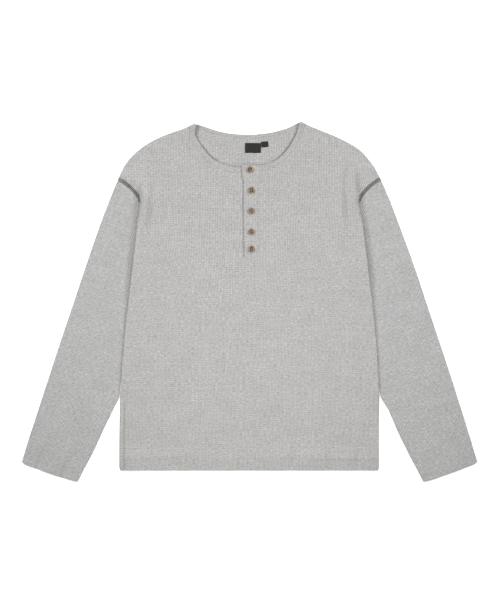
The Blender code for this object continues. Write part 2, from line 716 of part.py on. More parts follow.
def sleeve_plan(side):
    """Points (x, y) of a sleeve as it lies: rows from cuff to armhole, columns from outer to inner."""
    sign = SIDES[side][1]
    outer = table_line(SLEEVE_OUTER, side)
    inner = sleeve_inner_line(side)
    cuff = smooth_line([(sign * x, y) for x, y in CUFF[side]])
    v = np.linspace(0, 1, SLEEVE_ROWS + 1)
    u = np.linspace(0, 1, SLEEVE_COLUMNS + 1)
    a = points_at(outer, v)
    b = points_at(inner, v)
    c = points_at(cuff, u)
    d = shifted(armhole_points(side), -sign * SEAM_GAP)
    d[-2:, 0] += sign * UNDERARM_GAP
    a[-1] = d[0]
    b[-1] = d[-1]
    c[0], c[-1] = a[0], b[0]
    share = v ** 3
    rows = []
    for i in range(len(v)):
        straight = (1 - u)[:, None] * a[i] + u[:, None] * b[i]
        cuff_bend = c - ((1 - u)[:, None] * a[0] + u[:, None] * b[0])
        arm_bend = d - ((1 - u)[:, None] * a[-1] + u[:, None] * b[-1])
        rows.append(straight + (1 - v[i]) ** 3 * cuff_bend + share[i] * arm_bend)
    return rows


def outward(line, inside):
    """Unit directions square to a line, away from the points inside."""
    run = np.gradient(line, axis=0)
    square = np.stack([run[:, 1], -run[:, 0]], axis=1) / np.linalg.norm(run, axis=1)[:, None]
    away = np.sign(np.sum(square * (line - inside), axis=1))
    return square * away[:, None]


def fold_arc(point, toward, z_from, z_to):
    """Half circle of a folded edge from one layer to the other, inside the point in plan."""
    radius = abs(z_from - z_to) / 2
    middle = (z_from + z_to) / 2
    arc = []
    for k in range(FOLD_POINTS + 1):
        turn = math.pi * k / FOLD_POINTS
        push = toward * (radius * math.sin(turn) - radius - CLOTH / 2)
        arc.append((*(point + push), middle + (z_from - middle) * math.cos(turn)))
    return arc


def sleeve_rings(side):
    """Rings of a flattened sleeve from the cuff to the armhole, each round upper side, folds and lower side."""
    edge = visible_edge(side)
    plan = np.array(sleeve_plan(side))
    inner_out = outward(plan[:, -1], plan[:, -2])
    outer_out = outward(plan[:, 0], plan[:, 1])
    outer_out[-1] = (plan[-1, 0] - plan[-1, 1]) / np.linalg.norm(plan[-1, 0] - plan[-1, 1])
    rings = []
    for i, row in enumerate(plan):
        clear = np.abs(row[:, 0]) - np.interp(row[:, 1], edge[:, 1], np.abs(edge[:, 0])) - 8.0
        shown = soft_step(clear, 0, 35) * soft_step(SLEEVE_ROWS - i, 0, 0.12 * SLEEVE_ROWS)
        tops = Z_SECOND + SLEEVE_LOFT * shown
        upper = [(*p, z) for p, z in zip(row, tops)]
        lower = [(*p, Z_FLOOR) for p in row]
        inner = fold_arc(row[-1], inner_out[i], tops[-1], Z_FLOOR)
        outer = fold_arc(row[0], outer_out[i], Z_FLOOR, tops[0])
        rings.append(upper[1:-1] + inner + lower[1:-1][::-1] + outer)
    return rings


def make_sleeve(side, mat):
    """A flattened tube, from the cuff to the armhole."""
    rings = sleeve_rings(side)
    bm = bmesh.new()
    verts = [[bm.verts.new([c * MM for c in p]) for p in ring] for ring in rings]
    for i in range(len(rings) - 1):
        for j in range(len(rings[0])):
            k = (j + 1) % len(rings[0])
            bm.faces.new((verts[i][j], verts[i][k], verts[i + 1][k], verts[i + 1][j]))
    bmesh.ops.recalc_face_normals(bm, faces=bm.faces)
    mesh = bpy.data.meshes.new(f"sleeve_{side}")
    bm.to_mesh(mesh)
    bm.free()
    obj = add_object(f"sleeve_{side}", mesh, mat)
    wall = obj.modifiers.new("wall", "SOLIDIFY")
    wall.thickness = CLOTH * MM
    wall.offset = 0.0


# ---- labels ------------------------------------------------------------------------------------
def make_label(name, left_x, middle_y, width, height, turn, mat):
    """A small woven label, flat on the back panel."""
    bm = bmesh.new()
    bmesh.ops.create_cube(bm, size=1.0)
    bmesh.ops.scale(bm, vec=(width * MM, height * MM, LABEL_THICK * MM), verts=bm.verts)
    bmesh.ops.translate(bm, vec=(width / 2 * MM, 0, 0), verts=bm.verts)
    mesh = bpy.data.meshes.new(name)
    bm.to_mesh(mesh)
    bm.free()
    obj = add_object(name, mesh, mat)
    mesh.set_sharp_from_angle(angle=math.radians(35))
    obj.location = (left_x * MM, middle_y * MM, (CLOTH + SEAM_GAP + LABEL_THICK / 2) * MM)
    obj.rotation_euler = (0, 0, math.radians(turn))


def main():
    for obj in list(bpy.data.objects):
        bpy.data.objects.remove(obj, do_unlink=True)
    waffle = material("waffle_knit", WAFFLE_GREY, 0.9)
    horn = material("horn", HORN_BROWN, 0.35)
    woven = material("label_weave", LABEL_BLACK, 0.7)
    make_back(waffle)
    grid = front_grid()
    make_front(grid, waffle)
    upper = make_placket(grid, waffle)
    make_buttons(upper, horn)
    make_neckband(grid, waffle)
    for side in SIDES:
        make_sleeve(side, waffle)
    make_label("neck_label", *NECK_LABEL, woven)
    make_label("size_tab", *SIZE_TAB, woven)


main()
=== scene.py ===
"""Looks of a henley shirt in heather-grey waffle knit, laid flat: cloth, sewing, buttons, labels, light.

The cloth follows the outlines and layers of the shirt's solids, so their tables and curves come
first, in millimetres. Each sheet is a grid whose vertices are moved onto that form. Its UV map holds
the place of each point in the flat-cut piece, so the knit keeps to the grain round folds and sleeves.
"""
import math

import bmesh
import bpy
import numpy as np
from mathutils import Matrix, Vector, noise
from mathutils.bvhtree import BVHTree


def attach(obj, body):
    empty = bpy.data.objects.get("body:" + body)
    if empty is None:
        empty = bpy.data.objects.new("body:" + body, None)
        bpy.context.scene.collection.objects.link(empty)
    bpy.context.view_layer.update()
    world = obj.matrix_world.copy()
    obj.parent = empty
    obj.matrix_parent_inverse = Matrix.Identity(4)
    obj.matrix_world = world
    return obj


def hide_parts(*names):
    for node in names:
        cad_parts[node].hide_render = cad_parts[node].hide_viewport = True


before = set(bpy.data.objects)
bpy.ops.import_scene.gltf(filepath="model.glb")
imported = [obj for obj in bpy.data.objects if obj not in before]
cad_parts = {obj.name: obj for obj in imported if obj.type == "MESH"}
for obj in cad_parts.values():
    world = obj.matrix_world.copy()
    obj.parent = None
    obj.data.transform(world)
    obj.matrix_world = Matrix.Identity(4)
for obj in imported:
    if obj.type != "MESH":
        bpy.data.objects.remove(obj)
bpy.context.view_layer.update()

MM = 0.001

# ---- cloth and layers --------------------------------------------------------------------------
CLOTH = 1.5              # thickness that the layers leave for the knit
WALL = 0.9               # thickness of the knit as shown, so that turned edges fit between the layers
SEAM_GAP = 0.3           # between two solids that are sewn together
JOIN = 0.05              # sewn edges of the shown cloth meet with this little overlap
SLACK = 0.5              # air in a soft fold, besides the gap
Z_FLOOR = CLOTH / 2                         # middle of the cloth that lies on the floor
Z_SEAM = Z_FLOOR + WALL + 0.05              # an edge sewn over one on the floor
Z_SECOND = Z_FLOOR + CLOTH + SEAM_GAP + SLACK     # upper side of the sleeves
Z_THIRD = Z_SECOND + CLOTH + SEAM_GAP       # sides of the front, folded under, over the sleeves
BODY_LOFT = 1.0          # how much the front stands off the back
SLEEVE_LOFT = 2.4        # how much the upper side of a sleeve stands off the lower
SIDE_SPREAD = 70.0       # over which the raised side of the front comes down towards the middle
EDGE_ZONE = 12.0         # width of the rounded strip along each side of the front
FOLD_DEPTH = 2.6         # how far a fold takes to turn, in plan
FOLD_BULGE = 0.5         # a high fold bulges out near its top
# a folded side ends this far inside the solid's, because it stands higher: y, left, right
FOLD_INSET = (
    (-140.0, 2.8, 1.0),
    (-60.0, 2.8, 1.8),
    (20.0, 2.8, 1.8),
    (70.0, 2.6, 1.8),
    (110.0, 3.4, 3.2),
    (170.0, 3.4, 3.4),
)
SOFT_DEPTH = 6.0         # how far an edge that is not folded takes to come down
DIP_ZONE = 6.0           # the folded front comes down to the back over this width
UNDERARM_GAP = 1.0       # extra room where the sleeve's fold meets the armhole
OUTLINE_INSET = 0.4      # the layer on the floor stays this far inside the outline
TURN_GAP = 0.94          # between the two layers of a turned-up edge, middle to middle
HEM_WIDTH = 22.0         # turned-up cloth at the hem
HEM_STITCH = 20.5        # its stitching, from the edge
CUFF_WIDTH = 18.0
CUFF_STITCH = 16.6
HEM_RAISE = 2.6          # the doubled hem of the front stands higher by this
HEM_SLOPE = 30.0         # and comes down over this width above its stitching

# ---- body --------------------------------------------------------------------------------------
LEFT, RIGHT = 1, 2       # columns of the tables below
SIDES = {"left": (LEFT, -1), "right": (RIGHT, 1)}

# where each side of the body ends as it lies, and how far inside it the seam lies, folded under:
# y, left x, right x, height of the upper side, tuck
BODY_EDGE = (
    (-329.0, 251.6, 250.8, 3.2, 0.0),
    (-324.0, 252.8, 252.0, 3.4, 0.0),
    (-314.0, 253.0, 252.2, 3.6, 0.0),
    (-280.0, 253.0, 252.0, 4.4, 0.0),
    (-210.0, 251.9, 252.6, 6.0, 0.0),
    (-188.0, 251.5, 252.8, 6.6, 0.0),
    (-170.0, 252.4, 252.6, 7.4, 6.0),
    (-140.0, 251.0, 251.8, 7.6, 16.5),
    (-100.0, 248.2, 249.4, 7.6, 26.0),
    (-50.0, 243.6, 245.8, 7.8, 32.0),
    (3.0, 237.4, 239.8, 9.8, 33.5),
    (54.0, 231.0, 233.4, 14.0, 25.5),
    (116.0, 224.2, 227.3, 14.4, 17.0),
    (160.0, 218.8, 221.0, 13.0, 9.5),
    (180.0, 215.6, 216.4, 11.0, 4.5),
    (192.0, 211.8, 212.2, 8.6, 0.0),
)
UNDERARM_Y = 3.0         # side seam below it, armhole seam above it
# armhole seam where it shows, up to the shoulder: y, left x, right x
ARMHOLE = (
    (201.9, 214.6, 215.4),
    (213.8, 223.2, 223.8),
    (228.4, 238.8, 238.6),
    (239.2, 255.4, 255.6),
)
FOLD_TOP_Y = 192.0       # above this the armhole seam shows
CLIMB_Y = 216.0          # from here down the front's edge rises onto the sleeve

# shoulder seam, from the armhole to the neckband: y, left x, right x
SHOULDER = (
    (239.2, 255.4, 255.6),
    (256.5, 247.7, 245.8),
    (276.0, 234.9, 232.5),
    (291.6, 219.5, 219.3),
    (307.2, 198.4, 196.9),
    (318.9, 176.6, 173.6),
    (330.6, 146.7, 146.2),
    (338.4, 124.5, 126.3),
)
NECK_CORNER = {"left": (-117.4, 342.2), "right": (111.2, 345.2)}     # its end at the neckband
# ---- neck --------------------------------------------------------------------------------------
NECK_POINT = {"left": (-106.0, 346.8), "right": (99.7, 350.9)}
BAND_FRONT = 12.5        # width of the neckband
BAND_BACK = 7.0          # what shows of it inside the back neck
NECK_LOFT = 3.2          # the front neck edge stands a little higher
NECK_ROLL = 2.6          # the neckband's free edge has rolled back by this much between the neck points
NECK_GAPE = 7.0          # at the neck points it stands off the back by this much more
NECK_GAPE_REACH = 30.0   # how far from them that is gone
NECK_CREASE = 1.6        # how far the band takes to turn down onto the back, in plan
NECK_BACK_START = 3.0    # its first cross-line on the back is this far from the neck point
# free edge of the neckband, front, on the left and right of the placket: x, y
NECK_FRONT_LEFT = (
    (-106.0, 346.8),
    (-105.6, 332.6),
    (-98.4, 316.0),
    (-88.6, 301.4),
    (-77.8, 287.7),
    (-66.4, 278.2),
    (-55.3, 271.9),
    (-43.6, 267.9),
    (-31.9, 265.2),
    (-18.0, 264.4),
    (-5.0, 264.4),
)
NECK_FRONT_RIGHT = (
    (10.0, 266.6),
    (22.0, 267.6),
    (38.3, 271.7),
    (50.0, 277.6),
    (62.5, 287.4),
    (75.0, 302.6),
    (86.9, 322.4),
    (96.2, 341.6),
    (99.7, 350.9),
)
# free edge of the neckband across the back: x, y
NECK_BACK = (
    (-106.0, 346.8),
    (-88.4, 341.0),
    (-65.0, 333.2),
    (-41.6, 327.9),
    (-18.2, 325.7),
    (5.2, 325.5),
    (28.6, 327.3),
    (52.0, 331.4),
    (75.4, 338.4),
    (90.0, 345.4),
    (99.7, 350.9),
)
# ---- placket and buttons -----------------------------------------------------------------------
PLACKET_LEFT = -12.4     # free edge of the upper strip
PLACKET_RIGHT = 20.8     # where it is sewn to the front
PLACKET_SET_BACK = 1.7   # the free edge lies this far inside the slit's side
PLACKET_DRAWN_IN = 1.1   # and this much further near its lower end
PLACKET_CURL = 1.1       # and curls up by this much
PLACKET_LEAN = 3.0       # it leans out by this much at the neck
PLACKET_LEAN_FROM = 220.0
UNDER_RIGHT = 13.0       # hidden edge of the lower strip
PLACKET_BOTTOM = 88.0    # y of the slit's lower end
BUTTON_RADIUS = 6.35
BUTTON_THICK = 2.6
BUTTON_RIM = 1.5
BUTTON_DISH = 0.7        # depth of the dished middle
BUTTON_HOLE = 0.9        # radius
BUTTON_HOLE_OUT = 1.5    # of each of the four holes from the middle
BUTTON_SINK = 0.3        # gap between the button and the strip
BUTTONS = (              # x, y
    (1.1, 256.4),
    (3.8, 216.1),
    (3.5, 176.0),
    (3.8, 135.4),
    (4.1, 102.4),
)
# ---- labels ------------------------------------------------------------------------------------
LABEL_THICK = 1.0
NECK_LABEL = (-8.5, 299.3, 31.0, 19.4, 0.0)      # left x, middle y, width, height, turn in degrees
SIZE_TAB = (22.95, 305.7, 14.05, 11.0, 5.0)      # the same, close beside it

# ---- sleeves -----------------------------------------------------------------------------------
# outer fold, from the cuff to the armhole: y, left x, right x
SLEEVE_OUTER = (
    (-313.0, 443.2, 444.3),
    (-276.0, 432.3, 433.2),
    (-231.0, 417.6, 419.4),
    (-153.0, 392.3, 394.7),
    (-75.0, 366.8, 369.0),
    (3.0, 340.5, 343.2),
    (81.0, 314.4, 316.9),
    (159.0, 287.0, 288.1),
    (198.0, 272.1, 273.3),
    (239.2, 255.4, 255.6),
)
# inner fold, as far as it shows below the body: y, left x, right x
SLEEVE_INNER = (
    (-351.4, 334.4, 338.8),
    (-328.5, 322.8, 326.9),
    (-289.5, 302.2, 306.5),
    (-250.5, 284.5, 287.5),
    (-211.5, 265.6, 270.8),
    (-188.0, 254.6, 257.0),
)
# cuff edge from the outer to the inner fold: x out, y
CUFF = {
    "left": ((443.2, -313.0), (436.1, -317.6), (419.9, -323.8), (396.5, -332.4),
             (373.1, -340.4), (349.7, -347.4), (334.4, -351.4)),
    "right": ((444.3, -313.4), (436.0, -317.6), (419.9, -324.2), (396.5, -332.8),
              (373.1, -341.0), (352.0, -348.2), (338.8, -351.4)),
}

LAYER_GAP = 0.92         # between the layers of the doubled neckband and placket, middle to middle
# seam along each side that shows on top: depth of its groove, distance from the edge
SIDE_SEAM_SHOWN = {"left": (1.5, 9.0), "right": (0.4, 18.0)}

# ---- mesh density ------------------------------------------------------------------------------
EDGE_ROWS = (0.0, 1.5, 3.5, 6.5, 10.0, 13.5, 16.5, 18.6, 19.6, 20.5, 21.4, 22.4, 24.0, 27.0)
CUFF_ROWS = (0.0, 1.5, 3.5, 6.5, 10.0, 13.0, 15.0, 15.9, 16.6, 17.3, 18.2, 20.0, 23.0)
ROWS_BELOW_SLIT = 118    # the hem's rows among them
ROWS_BESIDE_SLIT = 30
NECK_COLUMNS = 40        # on each side of the placket
PLACKET_COLUMNS = 10
SHOULDER_COLUMNS = 44
STRIP_POINTS = 22        # across each rounded side of the front
ARMHOLE_SHOWN = 22       # segments of the armhole seam, where it shows and where it is hidden
ARMHOLE_HIDDEN = 22
BACK_ROWS = 120
BACK_COLUMNS = 100
SLEEVE_ROWS = 130
SLEEVE_COLUMNS = ARMHOLE_SHOWN + ARMHOLE_HIDDEN
FOLD_POINTS = 8          # segments in a folded edge
TURN_POINTS = 6          # segments round a turned-up edge
TURN_WEIGHT = 12.0       # how closely the points of a rounded side follow its bend
EDGE_ANGLE = 50.0        # degrees from which an edge of the cloth is shaded as crisp

# ---- curves ------------------------------------------------------------------------------------
def smooth_line(points, step=1.0):
    """A smooth curve through the points, as points about one step apart."""
    p = np.array(points, float)
    t = np.concatenate([[0.0], np.cumsum(np.linalg.norm(np.diff(p, axis=0), axis=1))])
    slope = np.gradient(p, t, axis=0)
    pieces = []
    for i in range(len(p) - 1):
        gap = t[i + 1] - t[i]
        s = np.linspace(0, 1, max(2, int(gap / step) + 1), endpoint=False)[:, None]
        pieces.append((2 * s**3 - 3 * s**2 + 1) * p[i] + (s**3 - 2 * s**2 + s) * gap * slope[i]
                      + (3 * s**2 - 2 * s**3) * p[i + 1] + (s**3 - s**2) * gap * slope[i + 1])
    pieces.append(p[-1:])
    return np.concatenate(pieces)


def lengths(line):
    """The length of a line up to each of its points."""
    return np.concatenate([[0.0], np.cumsum(np.linalg.norm(np.diff(line, axis=0), axis=1))])


def points_at(line, fractions):
    """Points at the given fractions of a line's length."""
    run = lengths(line)
    where = np.asarray(fractions) * run[-1]
    return np.stack([np.interp(where, run, line[:, k]) for k in range(line.shape[1])], axis=1)


def soft_step(value, low=0.0, high=1.0):
    """Rises smoothly from 0 at low to 1 at high."""
    s = np.clip((value - low) / (high - low), 0, 1)
    return s * s * (3 - 2 * s)


def table_line(table, side, step=1.0):
    """A table of y, left x, right x as a smooth line of (x, y) on one side."""
    column, sign = SIDES[side]
    return smooth_line([(sign * row[column], row[0]) for row in table], step)


def shoulder_line(side):
    """Shoulder seam from the armhole to the neckband."""
    column, sign = SIDES[side]
    return smooth_line([(sign * row[column], row[0]) for row in SHOULDER] + [NECK_CORNER[side]])


def shifted(line, distance):
    """The line moved sideways, to its right-hand side as it runs."""
    run = np.gradient(line, axis=0)
    run /= np.linalg.norm(run, axis=1)[:, None]
    return line + distance * np.stack([run[:, 1], -run[:, 0]], axis=1)

# ---- body outlines -----------------------------------------------------------------------------
def visible_edge(side):
    """Where the front ends as it lies: body edge and fold, then the armhole seam that shows."""
    column, sign = SIDES[side]
    return smooth_line([(sign * row[column], row[0]) for row in BODY_EDGE + ARMHOLE])


def side_seam(side):
    """The whole seam along one side of the body: side seam, then armhole."""
    column, sign = SIDES[side]
    folded = [(sign * (row[column] - row[4]), row[0]) for row in BODY_EDGE]
    return smooth_line(folded + [(sign * row[column], row[0]) for row in ARMHOLE])


def tuck_at(side, y):
    """How far the front is folded under at the height y."""
    if y > FOLD_TOP_Y:
        return 0.0
    edge, seam = visible_edge(side), side_seam(side)
    tuck = np.interp(y, edge[:, 1], np.abs(edge[:, 0])) - np.interp(y, seam[:, 1], np.abs(seam[:, 0]))
    return float(tuck) if tuck > 0.05 else 0.0


def armhole_points(side):
    """Points along the armhole seam, from the shoulder down to the underarm, that all its pieces share."""
    seam = side_seam(side)[::-1]
    shown = seam[seam[:, 1] >= FOLD_TOP_Y]
    hidden = seam[(seam[:, 1] <= FOLD_TOP_Y) & (seam[:, 1] >= UNDERARM_Y)]
    hidden = np.concatenate([shown[-1:], hidden])
    return np.concatenate([points_at(shown, np.linspace(0, 1, ARMHOLE_SHOWN + 1)),
                           points_at(hidden, np.linspace(0, 1, ARMHOLE_HIDDEN + 1))[1:]])


def rolled(line):
    """The neckband's free edge, rolled back a little between the neck points."""
    away = np.min([np.linalg.norm(line - NECK_POINT[side], axis=1) for side in SIDES], axis=0)
    return line + (shifted(line, NECK_ROLL) - line) * soft_step(away, 0.0, 30.0)[:, None]


def neck_pairs(panel):
    """Dense pairs of points round the neck, (free edge, seam), from left to right."""
    if panel == "front":
        lines = [smooth_line(NECK_FRONT_LEFT), smooth_line(NECK_FRONT_RIGHT)]
        edge = np.concatenate([rolled(line) for line in lines])
        seam = np.concatenate([shifted(line, BAND_FRONT) for line in lines])
    else:
        edge = smooth_line(NECK_BACK)
        seam = shifted(edge, BAND_BACK)
        starts = []
        for side, sign in (("left", 1), ("right", -1)):
            corner = np.array(NECK_CORNER[side])
            along = corner - NECK_POINT[side]
            square = np.array([sign * abs(along[1]), -abs(along[0])]) / np.linalg.norm(along)
            starts.append([corner, corner + 4.0 * square])
        middle = seam[(seam[:, 0] > starts[0][0][0] + 22) & (seam[:, 0] < starts[1][0][0] - 22)]
        seam = smooth_line([*starts[0], *points_at(middle, np.linspace(0, 1, 7)), *starts[1][::-1]])
        edge = points_at(edge, lengths(seam) / lengths(seam)[-1])
    order = np.argsort(seam[:, 0])
    return edge[order], seam[order]


def top_line(panel):
    """Shoulder seam, neck seam, shoulder seam, as one line of (x, y) from left to right."""
    left = shoulder_line("left")
    right = shoulder_line("right")[::-1]
    seam = neck_pairs(panel)[1]
    seam = seam[(seam[:, 0] > left[-1, 0] + 1.0) & (seam[:, 0] < right[0, 0] - 1.0)]
    return np.concatenate([left, shifted(seam, -JOIN), right])


# ---- body panels -------------------------------------------------------------------------------
def body_columns():
    """x of the upright columns between the neck corners, evenly spaced along the front neck seam."""
    seam = neck_pairs("front")[1]
    west = seam[(seam[:, 0] > NECK_CORNER["left"][0]) & (seam[:, 0] < PLACKET_LEFT)]
    east = seam[(seam[:, 0] > PLACKET_RIGHT) & (seam[:, 0] < NECK_CORNER["right"][0])]
    fractions = np.linspace(0, 1, NECK_COLUMNS + 1)
    columns = np.concatenate([points_at(west, fractions)[:, 0], points_at(east, fractions)[:, 0]])
    columns[[0, NECK_COLUMNS, NECK_COLUMNS + 1, -1]] = (
        NECK_CORNER["left"][0], PLACKET_LEFT, PLACKET_RIGHT, NECK_CORNER["right"][0])
    middle = np.linspace(PLACKET_LEFT, PLACKET_RIGHT, PLACKET_COLUMNS + 1)[1:-1]
    return np.sort(np.concatenate([columns, middle]))


def placket_columns():
    """First and last column of the slit among all columns of the front grid."""
    columns = body_columns()
    first = STRIP_POINTS - 1 + SHOULDER_COLUMNS
    return (first + int(np.argmin(np.abs(columns - PLACKET_LEFT))),
            first + int(np.argmin(np.abs(columns - PLACKET_RIGHT))))


def row_share(v):
    """How far the rows have taken on the shape of the top line at the height fraction v."""
    return np.clip((v - 0.5) / 0.5, 0, 1) ** 1.6


def edge_points(side, fractions):
    """Ends of the front's rows on one side: along the body edge, then at the armhole's own points."""
    edge = visible_edge(side)
    below = edge[edge[:, 1] <= FOLD_TOP_Y]
    armhole = armhole_points(side)[:ARMHOLE_SHOWN][::-1]
    return np.concatenate([points_at(below, fractions[:-ARMHOLE_SHOWN] / fractions[-ARMHOLE_SHOWN - 1]), armhole])


def row_fractions(top):
    """Height fractions of the front's rows, one of them at the slit's lower end."""
    edge = visible_edge("left")
    shown = armhole_points("left")[:ARMHOLE_SHOWN + 1]
    below = lengths(edge[edge[:, 1] <= FOLD_TOP_Y])[-1]
    whole = below + lengths(shown)[-1]
    v = np.linspace(0, 1, 400)
    rise = np.interp(0.0, top[:, 0], top[:, 1]) - edge[-1, 1]
    slit = float(np.interp(PLACKET_BOTTOM, points_at(edge, v)[:, 1] + row_share(v) * rise, v))
    hem = np.array(EDGE_ROWS) / whole
    return np.concatenate([hem[:-1], np.linspace(hem[-1], slit, ROWS_BELOW_SLIT + 2 - len(hem)),
                           np.linspace(slit, below / whole, ROWS_BESIDE_SLIT + 1)[1:],
                           np.linspace(below / whole, 1, ARMHOLE_SHOWN + 1)[1:]])


def row_x(left, right, columns):
    """x of all columns of a row of the front, between its rounded sides."""
    west = np.linspace(left + EDGE_ZONE, columns[0], SHOULDER_COLUMNS + 1)[:-1]
    east = np.linspace(columns[-1], right - EDGE_ZONE, SHOULDER_COLUMNS + 1)[1:]
    return np.concatenate([west, columns, east])


def front_rows():
    """Rows of (x, y) across the front between its rounded sides, with the ends of each row."""
    top = top_line("front")
    fractions = row_fractions(top)
    left, right = edge_points("left", fractions), edge_points("right", fractions)
    columns = body_columns()

    def chord(i, x):
        u = (x - left[i, 0]) / (right[i, 0] - left[i, 0])
        return (1 - u) * left[i, 1] + u * right[i, 1]

    top_x = row_x(left[-1, 0], right[-1, 0], columns)
    rise = np.interp(top_x, top[:, 0], top[:, 1]) - chord(-1, top_x)
    rows = []
    for i, v in enumerate(fractions):
        x = row_x(left[i, 0], right[i, 0], columns)
        rows.append((x, chord(i, x) + row_share(v) * rise))
    return fractions, rows, left, right

# ---- sheets of cloth ---------------------------------------------------------------------------
def unit(vectors):
    """Vectors at length one."""
    return vectors / np.maximum(np.linalg.norm(vectors, axis=-1, keepdims=True), 1e-9)


def along_edge(edge, closed):
    """Direction of an edge at each of its points."""
    run = np.gradient(edge, axis=0)
    if closed:
        run[0] = run[-1] = edge[1] - edge[-2]
    return unit(run)


def at_distance(points, distance):
    """The line across the columns of a sheet at a distance from its first row."""
    step = np.linalg.norm(np.diff(points, axis=0), axis=2)
    run = np.concatenate([np.zeros((1, step.shape[1])), np.cumsum(step, axis=0)])
    line = np.empty((points.shape[1], points.shape[2]))
    for j in range(points.shape[1]):
        for k in range(points.shape[2]):
            line[j, k] = np.interp(distance, run[:, j], points[:, j, k])
    return line


def with_turned_edge(points, flat, width, closed=False, outside=1.0):
    """The sheet with its first edge turned in: round the edge, and back up inside by width."""
    inward = unit(points[2] - points[0])
    normal = outside * unit(np.cross(along_edge(points[0], closed), inward))
    radius = TURN_GAP / 2
    points = points.copy()
    edge_flat = flat[0].copy()
    points[0] = points[0] + inward * (radius + WALL / 2)
    turned = [at_distance(points, s) - normal * TURN_GAP for s in np.linspace(width, 0, 7)]
    turned_flat = [edge_flat - (0, 2 * radius + s) for s in np.linspace(width, 0, 7)]
    for k in range(1, TURN_POINTS):
        angle = math.pi * k / TURN_POINTS
        turned.append(points[0] - normal * radius * (1 + math.cos(angle)) - inward * radius * math.sin(angle))
        turned_flat.append(edge_flat - (0, 2 * radius * (1 - k / TURN_POINTS)))
    return np.concatenate([turned, points]), np.concatenate([turned_flat, flat])


def unrolled_across(points, middle, direction):
    """Distance of each point from the middle column, measured along the cloth square to the grain.

    direction is the unit direction in plan that counts, and the height counts too.
    """
    offset = points[:, :, :2] @ np.array(direction)
    step = np.hypot(np.diff(offset, axis=1), np.diff(points[:, :, 2], axis=1))
    run = np.concatenate([np.zeros((len(points), 1)), np.cumsum(step, axis=1)], axis=1)
    return run - run[:, middle:middle + 1]


def sheet_object(name, points, flat, mat, skip=None, closed=False, seams=None):
    """A grid whose vertices go to points, with its flat-cut place as UV.

    skip(i, j) says which cells stay open, closed joins the last column to the first, and seams
    holds the painted seam shade of each point, from 0 to 1, that darkens the material's colour there.
    """
    rows, columns = points.shape[:2]
    bm = bmesh.new()
    bmesh.ops.create_grid(bm, x_segments=columns - 1, y_segments=rows - 1, size=0.5)
    flat_cut = bm.loops.layers.uv.new("flat_cut")
    painted_seam_shade = bm.verts.layers.float.new("painted_seam_shade")
    place = {}
    for vert in bm.verts:
        place[vert] = (round((vert.co.y + 0.5) * (rows - 1)), round((vert.co.x + 0.5) * (columns - 1)))
    open_cells = []
    for face in bm.faces:
        for loop in face.loops:
            loop[flat_cut].uv = flat[place[loop.vert]] * MM
        if skip and skip(*np.min([place[v] for v in face.verts], axis=0)):
            open_cells.append(face)
    for vert, where in place.items():
        vert.co = points[where] * MM
        if seams is not None:
            vert[painted_seam_shade] = seams[where]
    bmesh.ops.delete(bm, geom=open_cells, context="FACES")
    if closed:
        bmesh.ops.remove_doubles(bm, verts=bm.verts, dist=1e-6)
        bmesh.ops.recalc_face_normals(bm, faces=bm.faces)
    return finished_piece(name, bm, mat)


def give_wall(obj, thickness):
    """Turns a sheet into cloth of even thickness, its cut edges crisp."""
    wall = obj.modifiers.new("wall", "SOLIDIFY")
    wall.thickness = thickness * MM
    wall.offset = 0.0
    keep_result(obj)
    obj.data.set_sharp_from_angle(angle=math.radians(EDGE_ANGLE))


def keep_result(obj):
    """Makes the result of a piece's modifiers its mesh."""
    depsgraph = bpy.context.evaluated_depsgraph_get()
    result = bpy.data.meshes.new_from_object(obj.evaluated_get(depsgraph))
    obj.modifiers.clear()
    obj.data = result


def finished_piece(name, bm, *mats):
    """A smooth-shaded object at the origin that rides on the shirt."""
    mesh = bpy.data.meshes.new(name)
    bm.to_mesh(mesh)
    bm.free()
    for mat in mats:
        mesh.materials.append(mat)
    mesh.shade_smooth()
    obj = bpy.data.objects.new(name, mesh)
    bpy.context.scene.collection.objects.link(obj)
    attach(obj, "root")
    return obj


def finish_sheet(obj):
    """Measures a piece's cut on its flat-cut map, and gives it its wall."""
    mesh = obj.data
    uv = np.empty(len(mesh.loops) * 2)
    mesh.uv_layers["flat_cut"].data.foreach_get("uv", uv)
    corners = uv.reshape(-1, 4, 2)
    nxt = np.roll(corners, -1, axis=1)
    area = abs(np.sum(corners[:, :, 0] * nxt[:, :, 1] - corners[:, :, 1] * nxt[:, :, 0])) / 2
    size = corners.reshape(-1, 2).max(axis=0) - corners.reshape(-1, 2).min(axis=0)
    area = min(max(area, 0.3 * size[0] * size[1]), size[0] * size[1])
    give_wall(obj, WALL)


